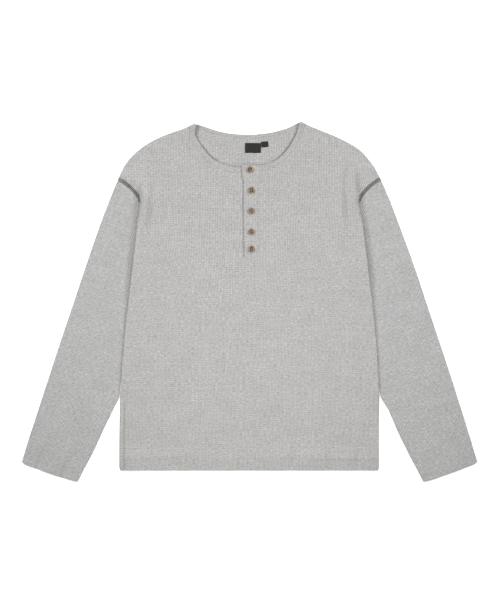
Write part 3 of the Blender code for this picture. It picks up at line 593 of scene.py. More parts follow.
# ---- soft folds --------------------------------------------------------------------------------
# troughs (below 0) and ridges in the cloth: depth, width across, then the points of its line
BODY_CREASES = (
    (-1.2, 10.0, (-164.0, 250.0), (-160.0, 190.0), (-156.0, 130.0)),
    (-2.1, 4.5, (199.5, 279.0), (192.5, 268.0), (184.0, 254.0)),
    (1.2, 9.0, (168.0, 252.0), (163.0, 206.0), (158.0, 160.0)),
    (-3.2, 4.5, (-141.0, -278.0), (-142.0, -312.0), (-142.0, -352.0)),
    (-2.9, 4.5, (-106.0, -282.0), (-107.0, -314.0), (-108.0, -352.0)),
    (-3.2, 4.5, (-13.0, -292.0), (-14.0, -318.0), (-14.0, -352.0)),
    (-2.2, 6.0, (12.0, -250.0), (18.0, -286.0), (23.0, -324.0)),
    (-2.9, 4.5, (84.0, -284.0), (82.0, -314.0), (82.0, -352.0)),
    (-3.2, 4.5, (160.0, -276.0), (158.0, -312.0), (157.0, -352.0)),
    (-2.9, 4.5, (212.0, -280.0), (211.0, -314.0), (211.0, -352.0)),
    (-1.1, 16.0, (-60.0, 120.0), (-30.0, 40.0), (-20.0, -60.0)),
    (-1.1, 18.0, (90.0, 40.0), (76.0, -60.0), (84.0, -160.0)),
    (-1.0, 20.0, (-130.0, 20.0), (-120.0, -90.0), (-136.0, -200.0)),
    (-1.0, 10.0, (5.0, 84.0), (4.0, 60.0), (2.0, 28.0)),
)
# small steps where the cloth starts to fold over the sleeve: height of the inner side, how far it reaches, line
BODY_STEPS = (
    (4.4, 14.0, (-211.5, 193.0), (-211.3, 222.0), (-210.5, 246.0)),
    (3.8, 14.0, (212.0, 193.0), (209.3, 236.0), (205.0, 274.0)),
)
BANK_TOP = 16.5          # no bank stands higher than this
BANK_SPREAD = 50.0       # over which the lowered inner side comes back up
# banks where the sides of the front come down to the chest: height, width of the slope, line of its outer side
BODY_BANKS = (
    (7.6, 17.0, (-197.0, 264.0), (-200.3, 213.0), (-202.8, 183.0), (-207.5, 150.0), (-210.0, 104.0)),
    (8.6, 14.5, (197.0, 284.0), (192.8, 256.0), (192.0, 214.0), (193.0, 176.0), (194.0, 120.0)),
)
# the same on the sleeves, with x out from the middle of the shirt
SLEEVE_CREASES = {
    "left": (
        (-3.6, 4.5, (400.0, -288.0), (409.0, -314.0), (419.0, -340.0)),
        (-3.4, 4.5, (350.0, -308.0), (362.0, -336.0), (372.0, -362.0)),
        (-1.3, 13.0, (330.0, 60.0), (318.0, 30.0), (290.0, 6.0)),
        (-1.2, 13.0, (352.0, -60.0), (330.0, -84.0), (300.0, -96.0)),
        (1.0, 16.0, (380.0, -150.0), (352.0, -170.0), (318.0, -176.0)),
    ),
    "right": (
        (-3.6, 5.0, (406.0, -280.0), (418.0, -312.0), (430.0, -344.0)),
        (-1.3, 13.0, (334.0, 40.0), (316.0, 14.0), (288.0, -6.0)),
        (-1.2, 13.0, (356.0, -84.0), (334.0, -104.0), (306.0, -112.0)),
        (1.0, 16.0, (388.0, -180.0), (362.0, -196.0), (330.0, -204.0)),
    ),
}
CREASE_ROUNDNESS = 1.35  # 2 for a round trough, 1 for a sharp one
UNDULATION = 0.8        # height of the cloth's slow unevenness
UNDULATION_SPAN = 70.0


def crease_height(x, y, creases):
    """Height that the creases add at points (x, y)."""
    height = np.zeros_like(x)
    for depth, width, *line in creases:
        path = smooth_line(line, 4.0)
        gap = np.hypot(x[..., None] - path[:, 0], y[..., None] - path[:, 1])
        nearest = np.argmin(gap, axis=-1)
        fade = np.sin(math.pi * np.linspace(0.12, 0.88, len(path)))[nearest]
        height += depth * fade * np.exp(-(gap.min(axis=-1) / width) ** CREASE_ROUNDNESS)
    return height


def step_height(x, y):
    """Height that the body's steps add at points (x, y), and how far outside them, 0 to 1, the points lie."""
    height = np.zeros_like(x)
    outside = np.zeros_like(x)
    for rise, reach, *line in BODY_STEPS:
        path = smooth_line(line, 2.0)
        gap = np.hypot(x[..., None] - path[:, 0], y[..., None] - path[:, 1])
        nearest = np.argmin(gap, axis=-1)
        same_side = np.sign(x) == np.sign(line[0][0])
        inside = (np.abs(path[nearest, 0]) - np.abs(x)) * same_side
        fade = (1 - soft_step(y, line[1][1] - 6.0, line[-1][1])) * soft_step(y, line[0][1] - 24.0, line[0][1])
        within = soft_step(inside, -0.4, 1.8)
        height += rise * fade * within * np.exp(-(np.maximum(inside, 0) / reach) ** 2)
        outside += same_side * fade * (1 - within)
    return height, outside


def bank_height(x, y):
    """Height that the body's banks add at points (x, y): up on the outer side, down on the inner one."""
    height = np.zeros_like(x)
    for rise, slope, *line in BODY_BANKS:
        path = smooth_line(line, 2.0)[::-1]
        inside = np.interp(y, path[:, 1], np.abs(path[:, 0])) - np.abs(x)
        fade = soft_step(y, line[-1][1], line[-2][1] + 8.0) * (1 - soft_step(y, line[1][1], line[0][1]))
        fade *= np.sign(x) == np.sign(line[0][0])
        lift = np.minimum(rise, BANK_TOP - np.interp(y, [row[0] for row in BODY_EDGE], [row[3] for row in BODY_EDGE]))
        low = soft_step(inside, 0.0, slope)
        near = 1 - soft_step(inside, slope, slope + BANK_SPREAD)
        height += fade * (lift * (1 - low) - (rise - lift) * low * near)
    return height


def undulation(points, seed):
    """Slow unevenness of the cloth, the same on every run."""
    heights = [
        noise.noise(Vector((x / UNDULATION_SPAN, y / UNDULATION_SPAN * 0.7, seed)))
        + 0.4 * noise.noise(Vector((x / UNDULATION_SPAN * 2.7, y / UNDULATION_SPAN * 1.6, seed + 9)))
        for x, y in points[..., :2].reshape(-1, 2)
    ]
    return UNDULATION * np.array(heights).reshape(points.shape[:-1])


def spread_points(path, count):
    """Points along a (out, z) path, closer together where it bends."""
    run = np.diff(path, axis=0)
    turn = np.abs(np.diff(np.unwrap(np.arctan2(run[:, 1], run[:, 0])), prepend=0.0))
    weight = np.concatenate([[0.0], np.cumsum(np.linalg.norm(run, axis=1) + TURN_WEIGHT * turn)])
    where = np.linspace(0, weight[-1], count)
    return np.stack([np.interp(where, weight, path[:, k]) for k in (0, 1)], axis=1)


def fold_profile(tuck, high, under, low, inset, count):
    """Rounded side of the front as (out, z), from its upper side round the fold to the seam.

    The upper side is at height high, the folded layer at height under, and the seam at height low,
    tuck inside the solid's edge. Without a tuck it ends at the fold's outermost point, which is
    inset inside that edge.
    """
    depth = SOFT_DEPTH + (FOLD_DEPTH - SOFT_DEPTH) * soft_step(tuck, 0.0, 6.0)
    turned = min(tuck, depth)
    last = math.pi - math.asin(1 - turned / depth)
    angle = np.linspace(0, last, 40)
    drop = ((1 - np.cos(angle)) / (1 - math.cos(last))) ** (1 + FOLD_BULGE * soft_step(high - under, 1.0, 4.0))
    arc = np.stack([depth * (np.sin(angle) - 1), high - (high - under) * drop], axis=1)
    path = np.concatenate([[(-EDGE_ZONE, high)], arc])
    path[1:, 0] -= inset
    flat = tuck - turned - inset
    if flat > DIP_ZONE:
        dip = np.linspace(0, 1, 20)
        end = -tuck + DIP_ZONE
        path = np.concatenate([path, np.stack([end - DIP_ZONE * dip, under + (low - under) * soft_step(dip)], axis=1)])
    elif flat > 0.1:
        path = np.concatenate([path, [(-tuck, under)]])
    return spread_points(path, count)


def step_profile(high, low, count):
    """Side of the front where it meets the sleeve edge to edge: a soft step down."""
    t = np.linspace(0, 1, count)
    return np.stack([-EDGE_ZONE * (1 - t), high + (low - high) * soft_step(t)], axis=1)


def side_profile(side, y, tuck, high, under, low):
    """Side of the front where its edge is at y: folded over the sleeve, or flat beside it."""
    inset = np.interp(y, [row[0] for row in FOLD_INSET], [row[SIDES[side][0]] for row in FOLD_INSET])
    folded = fold_profile(tuck, high, under, low, inset * soft_step(tuck, 0.0, 8.0), STRIP_POINTS)
    plain = step_profile(high, low, STRIP_POINTS)
    share = (1 - soft_step(y, FOLD_TOP_Y + 2, FOLD_TOP_Y + 14)) * soft_step(high - under, 0.8, 2.0)
    return plain * (1 - share) + folded * share


def side_levels(side, y):
    """Tuck, and the heights high, under and low of the front's side, where its edge is at y."""
    high = np.interp(y, [row[0] for row in BODY_EDGE], [row[3] for row in BODY_EDGE])
    high += (Z_SECOND + 0.6 - high) * soft_step(y, FOLD_TOP_Y, 232.0)
    tuck = tuck_at(side, y)
    on_sleeve = soft_step(y, UNDERARM_Y - 125, UNDERARM_Y - 85) * (1 - soft_step(y, FOLD_TOP_Y + 8, CLIMB_Y))
    plain = Z_SEAM + (Z_SECOND - Z_SEAM) * soft_step(y, UNDERARM_Y, 60.0) * (1 - soft_step(y, 228.0, 239.0))
    low = plain + (Z_THIRD - plain) * on_sleeve
    under = low + (Z_THIRD - low) * soft_step(tuck, 1.0, 8.0)
    if tuck - FOLD_DEPTH < DIP_ZONE:
        low = under
    return tuck, high, under, low


def front_grid():
    """Middle points of the whole front, its rounded and folded sides included."""
    fractions, rows, left, right = front_rows()
    ends = {"left": left, "right": right}
    grid = []
    for i, (x, y) in enumerate(rows):
        v = fractions[i]
        z = np.full(len(x), Z_SECOND + BODY_LOFT * soft_step(v, 0, 0.08) * soft_step(1 - v, 0, 0.08))
        profiles = {}
        for side, (_, sign) in SIDES.items():
            tuck, high, under, low = side_levels(side, ends[side][i, 1])
            high = Z_SEAM + (high - Z_SEAM) * (1 - soft_step(v, 0.93, 1.0))
            inside = abs(ends[side][i, 0]) - sign * x
            near = 1 - soft_step(inside - max(EDGE_ZONE, tuck + DIP_ZONE), 0, SIDE_SPREAD)
            z = z + (high - z) * near
            profiles[side] = side_profile(side, ends[side][i, 1], tuck, high, under, low)
        in_neck = np.minimum(x - NECK_CORNER["left"][0], NECK_CORNER["right"][0] - x)
        z = z + NECK_LOFT * soft_step(v, 0.86, 1.0) * soft_step(in_neck, 0, 30)
        shoulder = (1 - soft_step(in_neck, 0, 20)) * soft_step(v, 0.93, 1.0)
        z = z * (1 - shoulder) + Z_SEAM * shoulder
        row = list(zip(x, y, z))
        for side, (_, sign) in SIDES.items():
            inner = row[0] if sign < 0 else row[-1]
            edge = ends[side][i]
            reach = (edge - np.array(inner[:2])) / EDGE_ZONE
            outermost = int(np.argmax(profiles[side][:, 0]))
            strip = []
            for k, (out, height) in enumerate(profiles[side][1:], 1):
                px, py = edge + reach * out
                strip.append((px, py if k <= outermost else edge[1], height))
            row = strip[::-1] + row if sign < 0 else row + strip
        grid.append(row)
    return grid

def front_sheet():
    """Points, flat-cut places and painted seam shade of the front, its sides folded and its hem turned up."""
    points = np.array(front_grid())
    west, east = np.argmin(points[:, :, 0], axis=1), np.argmax(points[:, :, 0], axis=1)
    column = np.arange(points.shape[1])
    upper = (column >= west[:, None]) & (column <= east[:, None])
    inside = np.minimum(points[:, :, 0] - points[:, :, 0].min(axis=1, keepdims=True),
                        points[:, :, 0].max(axis=1, keepdims=True) - points[:, :, 0])
    free = upper * soft_step(inside, 0.0, 6.0)
    from_hem = points[:, :, 1] - points[0, :, 1]
    top_y = points[-1, :, 1]
    from_top = top_y - points[:, :, 1]
    rise = crease_height(points[:, :, 0], points[:, :, 1], BODY_CREASES)
    steps, outside = step_height(points[:, :, 0], points[:, :, 1])
    banks = bank_height(points[:, :, 0], points[:, :, 1]) * (1 - outside)
    rise += banks + np.maximum(steps - np.maximum(banks, 0), 0)
    rise += undulation(points, 3.0) * soft_step(from_top, 0, 30)
    rise += HEM_RAISE * (1 - soft_step(from_hem, HEM_STITCH, HEM_STITCH + HEM_SLOPE))
    rise -= 0.12 * np.exp(-((from_hem - HEM_STITCH) / 1.2) ** 2)
    points[:, :, 2] += rise * free + HEM_RAISE * (1 - free) * upper * (1 - soft_step(from_hem, 10, 40))
    painted_side_seam_shade = np.zeros_like(from_hem)
    for side, (_, sign) in SIDES.items():
        groove, distance = SIDE_SEAM_SHOWN[side]
        seam_x = sign * (np.abs(points[:, 0 if sign < 0 else -1, 0]) - distance)[:, None]
        fade = upper * (1 - soft_step(points[:, :, 1], -215.0, -160.0))
        line = fade * np.exp(-((points[:, :, 0] - seam_x) / 1.2) ** 2)
        points[:, :, 2] -= groove * line
        # painted shade in the colour along the side seam's groove
        painted_side_seam_shade += 0.4 * groove * line
    middle = points.shape[1] // 2
    across = unrolled_across(points, middle, (1.0, 0.0)) + points[:, middle:middle + 1, 0]
    flat = np.stack([across, points[:, :, 1]], axis=2)
    # painted seam shade: along the side seams, just above the hem's stitching, and along the neck seam
    seams = painted_side_seam_shade + 0.12 * np.exp(-((from_hem - HEM_STITCH - 1.6) / 1.4) ** 2)
    in_neck = (points[:, :, 0] > NECK_CORNER["left"][0]) & (points[:, :, 0] < NECK_CORNER["right"][0])
    seams += 0.35 * in_neck * np.exp(-(from_top / 1.4) ** 2)
    lower_rows = len(points)
    points, flat = with_turned_edge(points, flat, HEM_WIDTH)
    seams = np.concatenate([np.zeros((len(points) - lower_rows, seams.shape[1])), seams])
    return points, flat, seams, len(points) - lower_rows


def make_front(mat):
    """The front, open at the placket's slit."""
    points, flat, seams, turned = front_sheet()
    first, last = placket_columns()
    slit = turned + ROWS_BELOW_SLIT
    obj = sheet_object("front_panel", points, flat, mat, seams=seams,
                       skip=lambda i, j: i >= slit and first <= j < last)
    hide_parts("front")
    finish_sheet(obj)
    return obj, points[turned:]


def back_sheet():
    """Points and flat-cut places of the back, flat on the floor with its hem turned up."""
    top = top_line("back")
    sides = {}
    for side, (_, sign) in SIDES.items():
        seam = side_seam(side) - (sign * OUTLINE_INSET, 0)
        sides[side] = seam
    v = np.concatenate([np.array(EDGE_ROWS) / 590.0, np.linspace(EDGE_ROWS[-1] / 590.0, 1, BACK_ROWS)[1:]])
    left, right = points_at(sides["left"], v), points_at(sides["right"], v)
    u = 0.5 - 0.5 * np.cos(math.pi * np.linspace(0, 1, BACK_COLUMNS + 1))
    u = 0.35 * u + 0.65 * np.linspace(0, 1, BACK_COLUMNS + 1)
    top_x = left[-1, 0] + (right[-1, 0] - left[-1, 0]) * u
    chord = left[-1, 1] + (right[-1, 1] - left[-1, 1]) * u
    in_neck = (top_x > NECK_CORNER["left"][0] + 1.0) & (top_x < NECK_CORNER["right"][0] - 1.0)
    rise = np.interp(top_x, top[:, 0], top[:, 1]) - OUTLINE_INSET * ~in_neck - chord
    x = left[:, :1] + (right[:, :1] - left[:, :1]) * u
    y = left[:, 1:] + (right[:, 1:] - left[:, 1:]) * u + row_share(v)[:, None] * rise
    points = np.stack([x, y, np.full_like(x, Z_FLOOR)], axis=2)
    flat = points[:, :, :2].copy()
    return with_turned_edge(points, flat, HEM_WIDTH, outside=-1.0)


def make_back(mat):
    """The back."""
    points, flat = back_sheet()
    obj = sheet_object("back_panel", points, flat, mat)
    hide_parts("back")
    finish_sheet(obj)
    return obj


# ---- sleeves -----------------------------------------------------------------------------------
def sleeve_inner_line(side):
    """Inner fold of a sleeve: what shows, then along the side seam up to the underarm."""
    sign = SIDES[side][1]
    shown = [(sign * row[SIDES[side][0]], row[0]) for row in SLEEVE_INNER]
    seam = side_seam(side)
    underarm = armhole_points(side)[-1]
    hidden = []
    for y in (-160.0, -130.0, -100.0, -65.0, -30.0, underarm[1]):
        beside = (DIP_ZONE + 2) * (1 - soft_step(y, -60.0, UNDERARM_Y)) + SEAM_GAP
        hidden.append((sign * (np.interp(y, seam[:, 1], np.abs(seam[:, 0])) + beside), y))
    return smooth_line(shown + hidden)


def sleeve_rows(outer):
    """Fractions of a sleeve's length at its rows, close together at the cuff's stitching."""
    whole = lengths(outer)[-1]
    cuff = np.array(CUFF_ROWS) / whole
    return np.concatenate([cuff, np.linspace(cuff[-1], 1, SLEEVE_ROWS)[1:]])


def sleeve_plan(side):
    """Points (x, y) of a sleeve as it lies: rows from cuff to armhole, columns from outer to inner."""
    sign = SIDES[side][1]
    outer = table_line(SLEEVE_OUTER, side)
    inner = sleeve_inner_line(side)
    cuff = smooth_line([(sign * x, y) for x, y in CUFF[side]])
    v = sleeve_rows(outer)
    u = np.linspace(0, 1, SLEEVE_COLUMNS + 1)
    a = points_at(outer, v)
    b = points_at(inner, v)
    c = points_at(cuff, u)
    d = shifted(armhole_points(side), -sign * SEAM_GAP)
    d[-2:, 0] += sign * UNDERARM_GAP
    a[-1] = d[0]
    b[-1] = d[-1]
    c[0], c[-1] = a[0], b[0]
    rows = []
    for i, share in enumerate(v):
        straight = (1 - u)[:, None] * a[i] + u[:, None] * b[i]
        cuff_bend = c - ((1 - u)[:, None] * a[0] + u[:, None] * b[0])
        arm_bend = d - ((1 - u)[:, None] * a[-1] + u[:, None] * b[-1])
        rows.append(straight + (1 - share) ** 3 * cuff_bend + share ** 3 * arm_bend)
    return np.array(rows)


def outward(line, inside):
    """Unit directions square to a line, away from the points inside."""
    run = np.gradient(line, axis=0)
    square = np.stack([run[:, 1], -run[:, 0]], axis=1) / np.linalg.norm(run, axis=1)[:, None]
    away = np.sign(np.sum(square * (line - inside), axis=1))
    return square * away[:, None]


def fold_arc(point, toward, z_from, z_to):
    """Half circle of a folded edge from one layer to the other, inside the point in plan."""
    radius = abs(z_from - z_to) / 2
    middle = (z_from + z_to) / 2
    arc = []
    for k in range(FOLD_POINTS + 1):
        turn = math.pi * k / FOLD_POINTS
        push = toward * (radius * math.sin(turn) - radius - WALL / 2)
        arc.append((*(point + push), middle + (z_from - middle) * math.cos(turn)))
    return arc


def sleeve_points(side):
    """Points of a flattened sleeve: rows from the cuff to the armhole, each once round.

    A row starts and ends at the underarm seam: upper side, outer fold, lower side.
    """
    edge = visible_edge(side)
    plan = sleeve_plan(side)
    inner_out = outward(plan[:, -1], plan[:, -2])
    outer_out = outward(plan[:, 0], plan[:, 1])
    outer_out[-1] = unit(plan[-1, 0] - plan[-1, 1])
    count = len(plan)
    middle = FOLD_POINTS // 2
    sign = SIDES[side][1]
    relief = crease_height(plan[:, :, 0] * sign, plan[:, :, 1], SLEEVE_CREASES[side])
    relief += undulation(plan, 20.0 * sign)
    across = np.linspace(0, 1, SLEEVE_COLUMNS + 1)
    rings = []
    for i, row in enumerate(plan):
        clear = np.abs(row[:, 0]) - np.interp(row[:, 1], edge[:, 1], np.abs(edge[:, 0]))
        near_arm = soft_step((count - 1 - i) / count, 0, 0.12)
        shown = soft_step(clear, 8, 43) * near_arm
        inside = soft_step(across, 0, 0.16) * soft_step(1 - across, 0, 0.16)
        tops = Z_SECOND + SLEEVE_LOFT * shown + relief[i] * inside * shown
        inner = fold_arc(row[-1], inner_out[i], tops[-1], Z_FLOOR)
        outer = fold_arc(row[0], outer_out[i], tops[0], Z_FLOOR)
        upper = [(*p, z) for p, z in zip(row, tops)][1:-1][::-1]
        lower = [(*p, Z_FLOOR) for p in row][1:-1]
        rings.append(inner[:middle + 1][::-1] + upper + outer + lower + inner[middle:][::-1])
    return np.array(rings)


def sleeve_sheet(side):
    """Points and flat-cut places of a sleeve, its cuff turned in."""
    sign = SIDES[side][1]
    points = sleeve_points(side)
    outer_fold = FOLD_POINTS // 2 + SLEEVE_COLUMNS - 1 + FOLD_POINTS // 2
    first, last = points[4, outer_fold, :2], points[-30, outer_fold, :2]
    grain = unit(last - first)
    square = np.array([grain[1], -grain[0]]) * (-sign)
    offset = points[:, :, :2] @ square
    across = unrolled_across(points, outer_fold, square)
    across += offset[:, outer_fold:outer_fold + 1] - offset[4, outer_fold]
    along = (points[:, :, :2] - first) @ grain
    flat = np.stack([across * sign, along], axis=2)
    turned, turned_flat = with_turned_edge(points, flat, CUFF_WIDTH, closed=True, outside=sign)
    return turned, turned_flat, points


def make_sleeve(side, mat):
    """A sleeve: a flattened tube with a turned-in cuff."""
    points, flat, shown = sleeve_sheet(side)
    obj = sheet_object(f"sleeve_{side}_tube", points, flat, mat, closed=True)
    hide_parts(f"sleeve_{side}")
    finish_sheet(obj)
    return obj, shown


# ---- neckband and placket ----------------------------------------------------------------------
def folded_strip(edges, seams, ups, layer_gap, across):
    """Points and flat-cut places of a doubled strip, one row for each cross-line from edge to seam.

    Each row runs under the strip from the seam to the folded edge and back over it.
    """
    radius = layer_gap / 2
    rows, flats = [], []
    for edge, seam, up in zip(edges, seams, ups):
        inward = unit(seam - edge)
        up = unit(up - inward * np.dot(up, inward))
        start = edge + inward * (radius + WALL / 2)
        width = np.linalg.norm(seam - start)
        shares = np.linspace(0, 1, across)
        under = [seam + (start - seam) * s - up * radius * (1 - 0.8 * soft_step(s, 0.2, 0.0)) for s in shares]
        arc = [start - up * radius * math.cos(a) - inward * radius * math.sin(a)
               for a in np.linspace(0, math.pi, TURN_POINTS + 1)[1:-1]]
        over = [start + (seam - start) * s + up * radius * (1 - 0.8 * soft_step(s, 0.8, 1.0)) for s in shares]
        rows.append(under + arc + over)
        flats.append([-s * width for s in shares[::-1]] + [0.0] * len(arc) + [s * width for s in shares])
    return np.array(rows), np.array(flats)


def gape(place):
    """How much higher than its seam the neckband's free edge stands at a place (x, y) of the front."""
    away = min(np.linalg.norm(np.subtract(place, NECK_POINT[side])) for side in SIDES)
    return NECK_GAPE * math.exp(-(away / NECK_GAPE_REACH) ** 2)


def band_lines(panel, xs, heights):
    """Cross-lines of the neckband beside the panel's own columns: free edge and seam in space."""
    edge, seam = neck_pairs(panel)
    lines = []
    for x, z in zip(xs, heights):
        e = [np.interp(x, seam[:, 0], edge[:, k]) for k in (0, 1)]
        clear = NECK_GAPE if panel == "front" else NECK_BACK_START
        if min(np.linalg.norm(np.subtract(e, NECK_POINT[side])) for side in SIDES) < clear:
            continue
        lift = gape(e) if panel == "front" else 0.0
        lines.append((np.array([*e, z + lift]), np.array([x, np.interp(x, seam[:, 0], seam[:, 1]), z])))
    return lines


def band_turn(side, front_z, back_z):
    """Cross-lines of the neckband round the shoulder seam, from the front to the back, with their ups."""
    point = np.array(NECK_POINT[side])
    out = np.array(NECK_CORNER[side])
    along = unit(out - point)
    out = out - along * SEAM_GAP
    away = np.array([along[1], -along[0]])
    away *= 1 if away[1] > 0 else -1
    lines, ups = [], []
    for k in range(FOLD_POINTS + 1):
        turn = math.pi * k / FOLD_POINTS
        ends = []
        for place, rise in ((point, NECK_GAPE), (out, 0.0)):
            radius = (front_z + rise - back_z) / 2
            depth = radius if turn < math.pi / 2 else min(radius, NECK_CREASE)
            push = away * (depth * math.sin(turn) - depth - CLOTH / 2)
            ends.append(np.array([*(place + push), back_z + radius + radius * math.cos(turn)]))
        lines.append(tuple(ends))
        ups.append(np.array([*(away * math.sin(turn)), math.cos(turn)]))
    return lines, ups


def make_neckband(top, mat):
    """One doubled strip from the placket round the neck and back to the placket."""
    columns = body_columns()
    west = columns[(columns > columns[0]) & (columns < PLACKET_LEFT + 0.1)][::-1]
    east = columns[(columns > PLACKET_RIGHT - 0.1) & (columns < columns[-1])]
    left = band_lines("front", west, np.interp(west, top[:, 0], top[:, 2]))
    right = band_lines("front", east, np.interp(east, top[:, 0], top[:, 2]))
    back_z = Z_FLOOR + LAYER_GAP / 2
    inner = columns[1:-1]
    back = band_lines("back", inner, [back_z] * len(inner))
    turn_left, ups_left = band_turn("left", Z_SECOND, back_z)
    turn_right, ups_right = band_turn("right", Z_SECOND, back_z)
    up, down = np.array([0.0, 0.0, 1.0]), np.array([0.0, 0.0, -1.0])
    lines = left + turn_left + back + turn_right[::-1] + right[::-1]
    ups = [up] * len(left) + ups_left + [down] * len(back) + ups_right[::-1] + [up] * len(right)
    edges = np.array([line[0] for line in lines])
    seams = np.array([line[1] for line in lines])
    points, across = folded_strip(edges, seams, ups, LAYER_GAP, 9)
    run = lengths(seams)
    flat = np.stack([np.repeat(run[:, None], across.shape[1], axis=1), across], axis=2)
    obj = sheet_object("neckband_strip", points, flat, mat)
    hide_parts("neckband")
    finish_sheet(obj)
    return obj, edges, seams


def placket_rows(grid):
    """y and height of the front across the slit, carried on up to the neck edge."""
    first, last = placket_columns()
    rows = [(part[:, 0], part[:, 1], part[:, 2]) for part in grid[ROWS_BELOW_SLIT:, first:last + 1]]
    x, last_y, z = rows[-1]
    neck_y = np.interp(x, (-16.0, PLACKET_RIGHT), (266.9, 266.9)) - NECK_ROLL
    for share in (0.25, 0.5, 0.75, 1.0):
        rows.append((x, last_y + (neck_y - last_y) * share, z))
    return rows


def placket_left(y):
    """x of the upper strip's free edge, which wavers a little between the buttons."""
    waver = 0.3 * math.sin(y / 11.0 + 0.6) + 0.2 * math.sin(y / 5.3)
    lean = PLACKET_LEAN * soft_step(y, PLACKET_LEAN_FROM, PLACKET_LEAN_FROM + 45)
    drawn_in = PLACKET_DRAWN_IN * (1 - soft_step(y, 118.0, 146.0))
    return PLACKET_LEFT + PLACKET_SET_BACK + drawn_in - lean + waver


def top_lift(x, up):
    """The upper strip lies on the lower one and comes down to the front at its sewn edges."""
    curl = PLACKET_CURL * (1 - soft_step(x, PLACKET_LEFT, PLACKET_LEFT + 9))
    return (CLOTH + SEAM_GAP + curl) * (1 - soft_step(x, UNDER_RIGHT + 1.2, PLACKET_RIGHT)) * soft_step(up, 0, 18)


def under_lift(x, up):
    """The lower strip goes inside the front at its lower end."""
    return -1.0 * (1 - soft_step(up, 0, 18)) + 0.0 * x


def make_placket_strip(name, node, grid, left, right, lift, mat):
    """A doubled strip over the slit, its fold at left(y) and its sewn edge at right.

    lift(x, up) is its height over the front's own, up millimetres above the slit's lower end.
    """
    flats, strips = [], []
    for x, y, z in placket_rows(grid):
        start = left(float(y.mean()))
        across = np.linspace(start + LAYER_GAP / 2 + WALL / 2, right, 15)
        ys = np.interp(across, x, y)
        up = ys - PLACKET_BOTTOM
        mids = np.stack([across, ys - JOIN * (up < 1.0), np.interp(across, x, z) + lift(across, up)], axis=1)
        half = LAYER_GAP / 2 * (1 - 0.85 * soft_step(across, right - 5.0, right)) * (0.15 + 0.85 * soft_step(up, 0, 6))
        layers = np.stack([np.zeros(15), np.zeros(15), half], axis=1)
        over, under = mids + layers, mids - layers
        centre = mids[0]
        arc = [centre + (-math.sin(a) * LAYER_GAP / 2, 0, -math.cos(a) * half[0])
               for a in np.linspace(0, math.pi, TURN_POINTS + 1)[1:-1]]
        strips.append(np.concatenate([under[::-1], arc, over]))
        flats.append([(x_, y_) for x_, y_ in zip(2 * start - across[::-1], ys)]
                     + [(start, ys[0])] * len(arc) + [(x_, y_) for x_, y_ in zip(across, ys)])
    points, flat = np.array(strips), np.array(flats)
    obj = sheet_object(name, points, flat, mat)
    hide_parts(node)
    finish_sheet(obj)
    return obj


def make_placket(grid, mat):
    """The lower strip, that carries the buttons, and the upper one with the buttonholes."""
    under = make_placket_strip("placket_lower_strip", "placket_under", grid,
                               lambda y: PLACKET_LEFT + SEAM_GAP, UNDER_RIGHT, under_lift, mat)
    upper = make_placket_strip("placket_upper_strip", "placket_top", grid,
                               placket_left, PLACKET_RIGHT + JOIN, top_lift, mat)
    return under, upper


# ---- sewing ------------------------------------------------------------------------------------
class Cloths:
    """The finished cloth pieces, to lay threads and buttons on."""

    def __init__(self, objects):
        depsgraph = bpy.context.evaluated_depsgraph_get()
        self.trees = [BVHTree.FromObject(obj, depsgraph) for obj in objects]

    def surface(self, x, y, side=1):
        """Point and outward normal, in millimetres, of the uppermost cloth at (x, y), or the lowest for side -1."""
        best, best_normal = None, None
        for tree in self.trees:
            hit, normal, _, _ = tree.ray_cast(Vector((x * MM, y * MM, side * 0.1)), Vector((0, 0, -side)))
            if hit is not None and (best is None or hit.z * side > best.z * side):
                best, best_normal = hit, normal
        if best is None:
            return None, None
        if best_normal.z * side < 0:
            best_normal = -best_normal
        return np.array(best) / MM, np.array(best_normal)


def bead():
    """A small round bead, the shape of every stitch before it is stretched."""
    bm = bmesh.new()
    bmesh.ops.create_uvsphere(bm, u_segments=6, v_segments=4, radius=1.0)
    mesh = bpy.data.meshes.new("bead")
    bm.to_mesh(mesh)
    bm.free()
    return mesh


BEAD = bead()


def lay_stitch(bm, start, end, up, width, height):
    """One stitch: a flattened bead from start to end, in millimetres, half sunk in the cloth."""
    start, end, up = Vector(start), Vector(end), Vector(up)
    start.z = max(start.z, height / 2 + 0.02)
    end.z = max(end.z, height / 2 + 0.02)
    run = (end - start) / 2
    length = max(run.length, 0.01)
    along = run / length
    side = up.cross(along).normalized()
    top = along.cross(side).normalized()
    turn = Matrix((along * length, side * width / 2, top * height / 2)).transposed().to_4x4()
    place = Matrix.Translation((start + end) / 2)
    stitch = BEAD.copy()
    stitch.transform(Matrix.Scale(MM, 4) @ place @ turn)
    bm.from_mesh(stitch)
    bpy.data.meshes.remove(stitch)


def stitch_line(bm, cloths, line, pitch, width, side=1, share=0.72, sink=0.1):
    """Straight stitches along a line of (x, y) on the cloth."""
    total = lengths(line)[-1]
    count = max(1, int(total / pitch))
    for k in range(count):
        ends = points_at(line, [(k + 0.5 - share / 2) / count, (k + 0.5 + share / 2) / count])
        spots = [cloths.surface(*p, side) for p in ends]
        if any(p is None for p, _ in spots):
            continue
        up = spots[0][1] + spots[1][1]
        lift = np.array(unit(up)) * (width / 2 - sink) * 0.5
        lay_stitch(bm, spots[0][0] + lift, spots[1][0] + lift, up, width, width * 0.8)


def make_hem_stitching(cloths, front_grid_points, mat):
    """Stitching of the hem, on the front and under the back."""
    bm = bmesh.new()
    for offset in (0.0, 2.6):
        line = at_distance(front_grid_points, HEM_STITCH - offset)
        keep = np.abs(line[:, 0]) < np.abs(line[:, 0]).max() - 1.5
        stitch_line(bm, cloths, line[keep, :2], 3.2, 0.7)
        stitch_line(bm, cloths, line[keep, :2] * (0.99, 1.0), 3.2, 0.7, side=-1, sink=0.3)
    obj = finished_piece("hem_stitching", bm, mat)


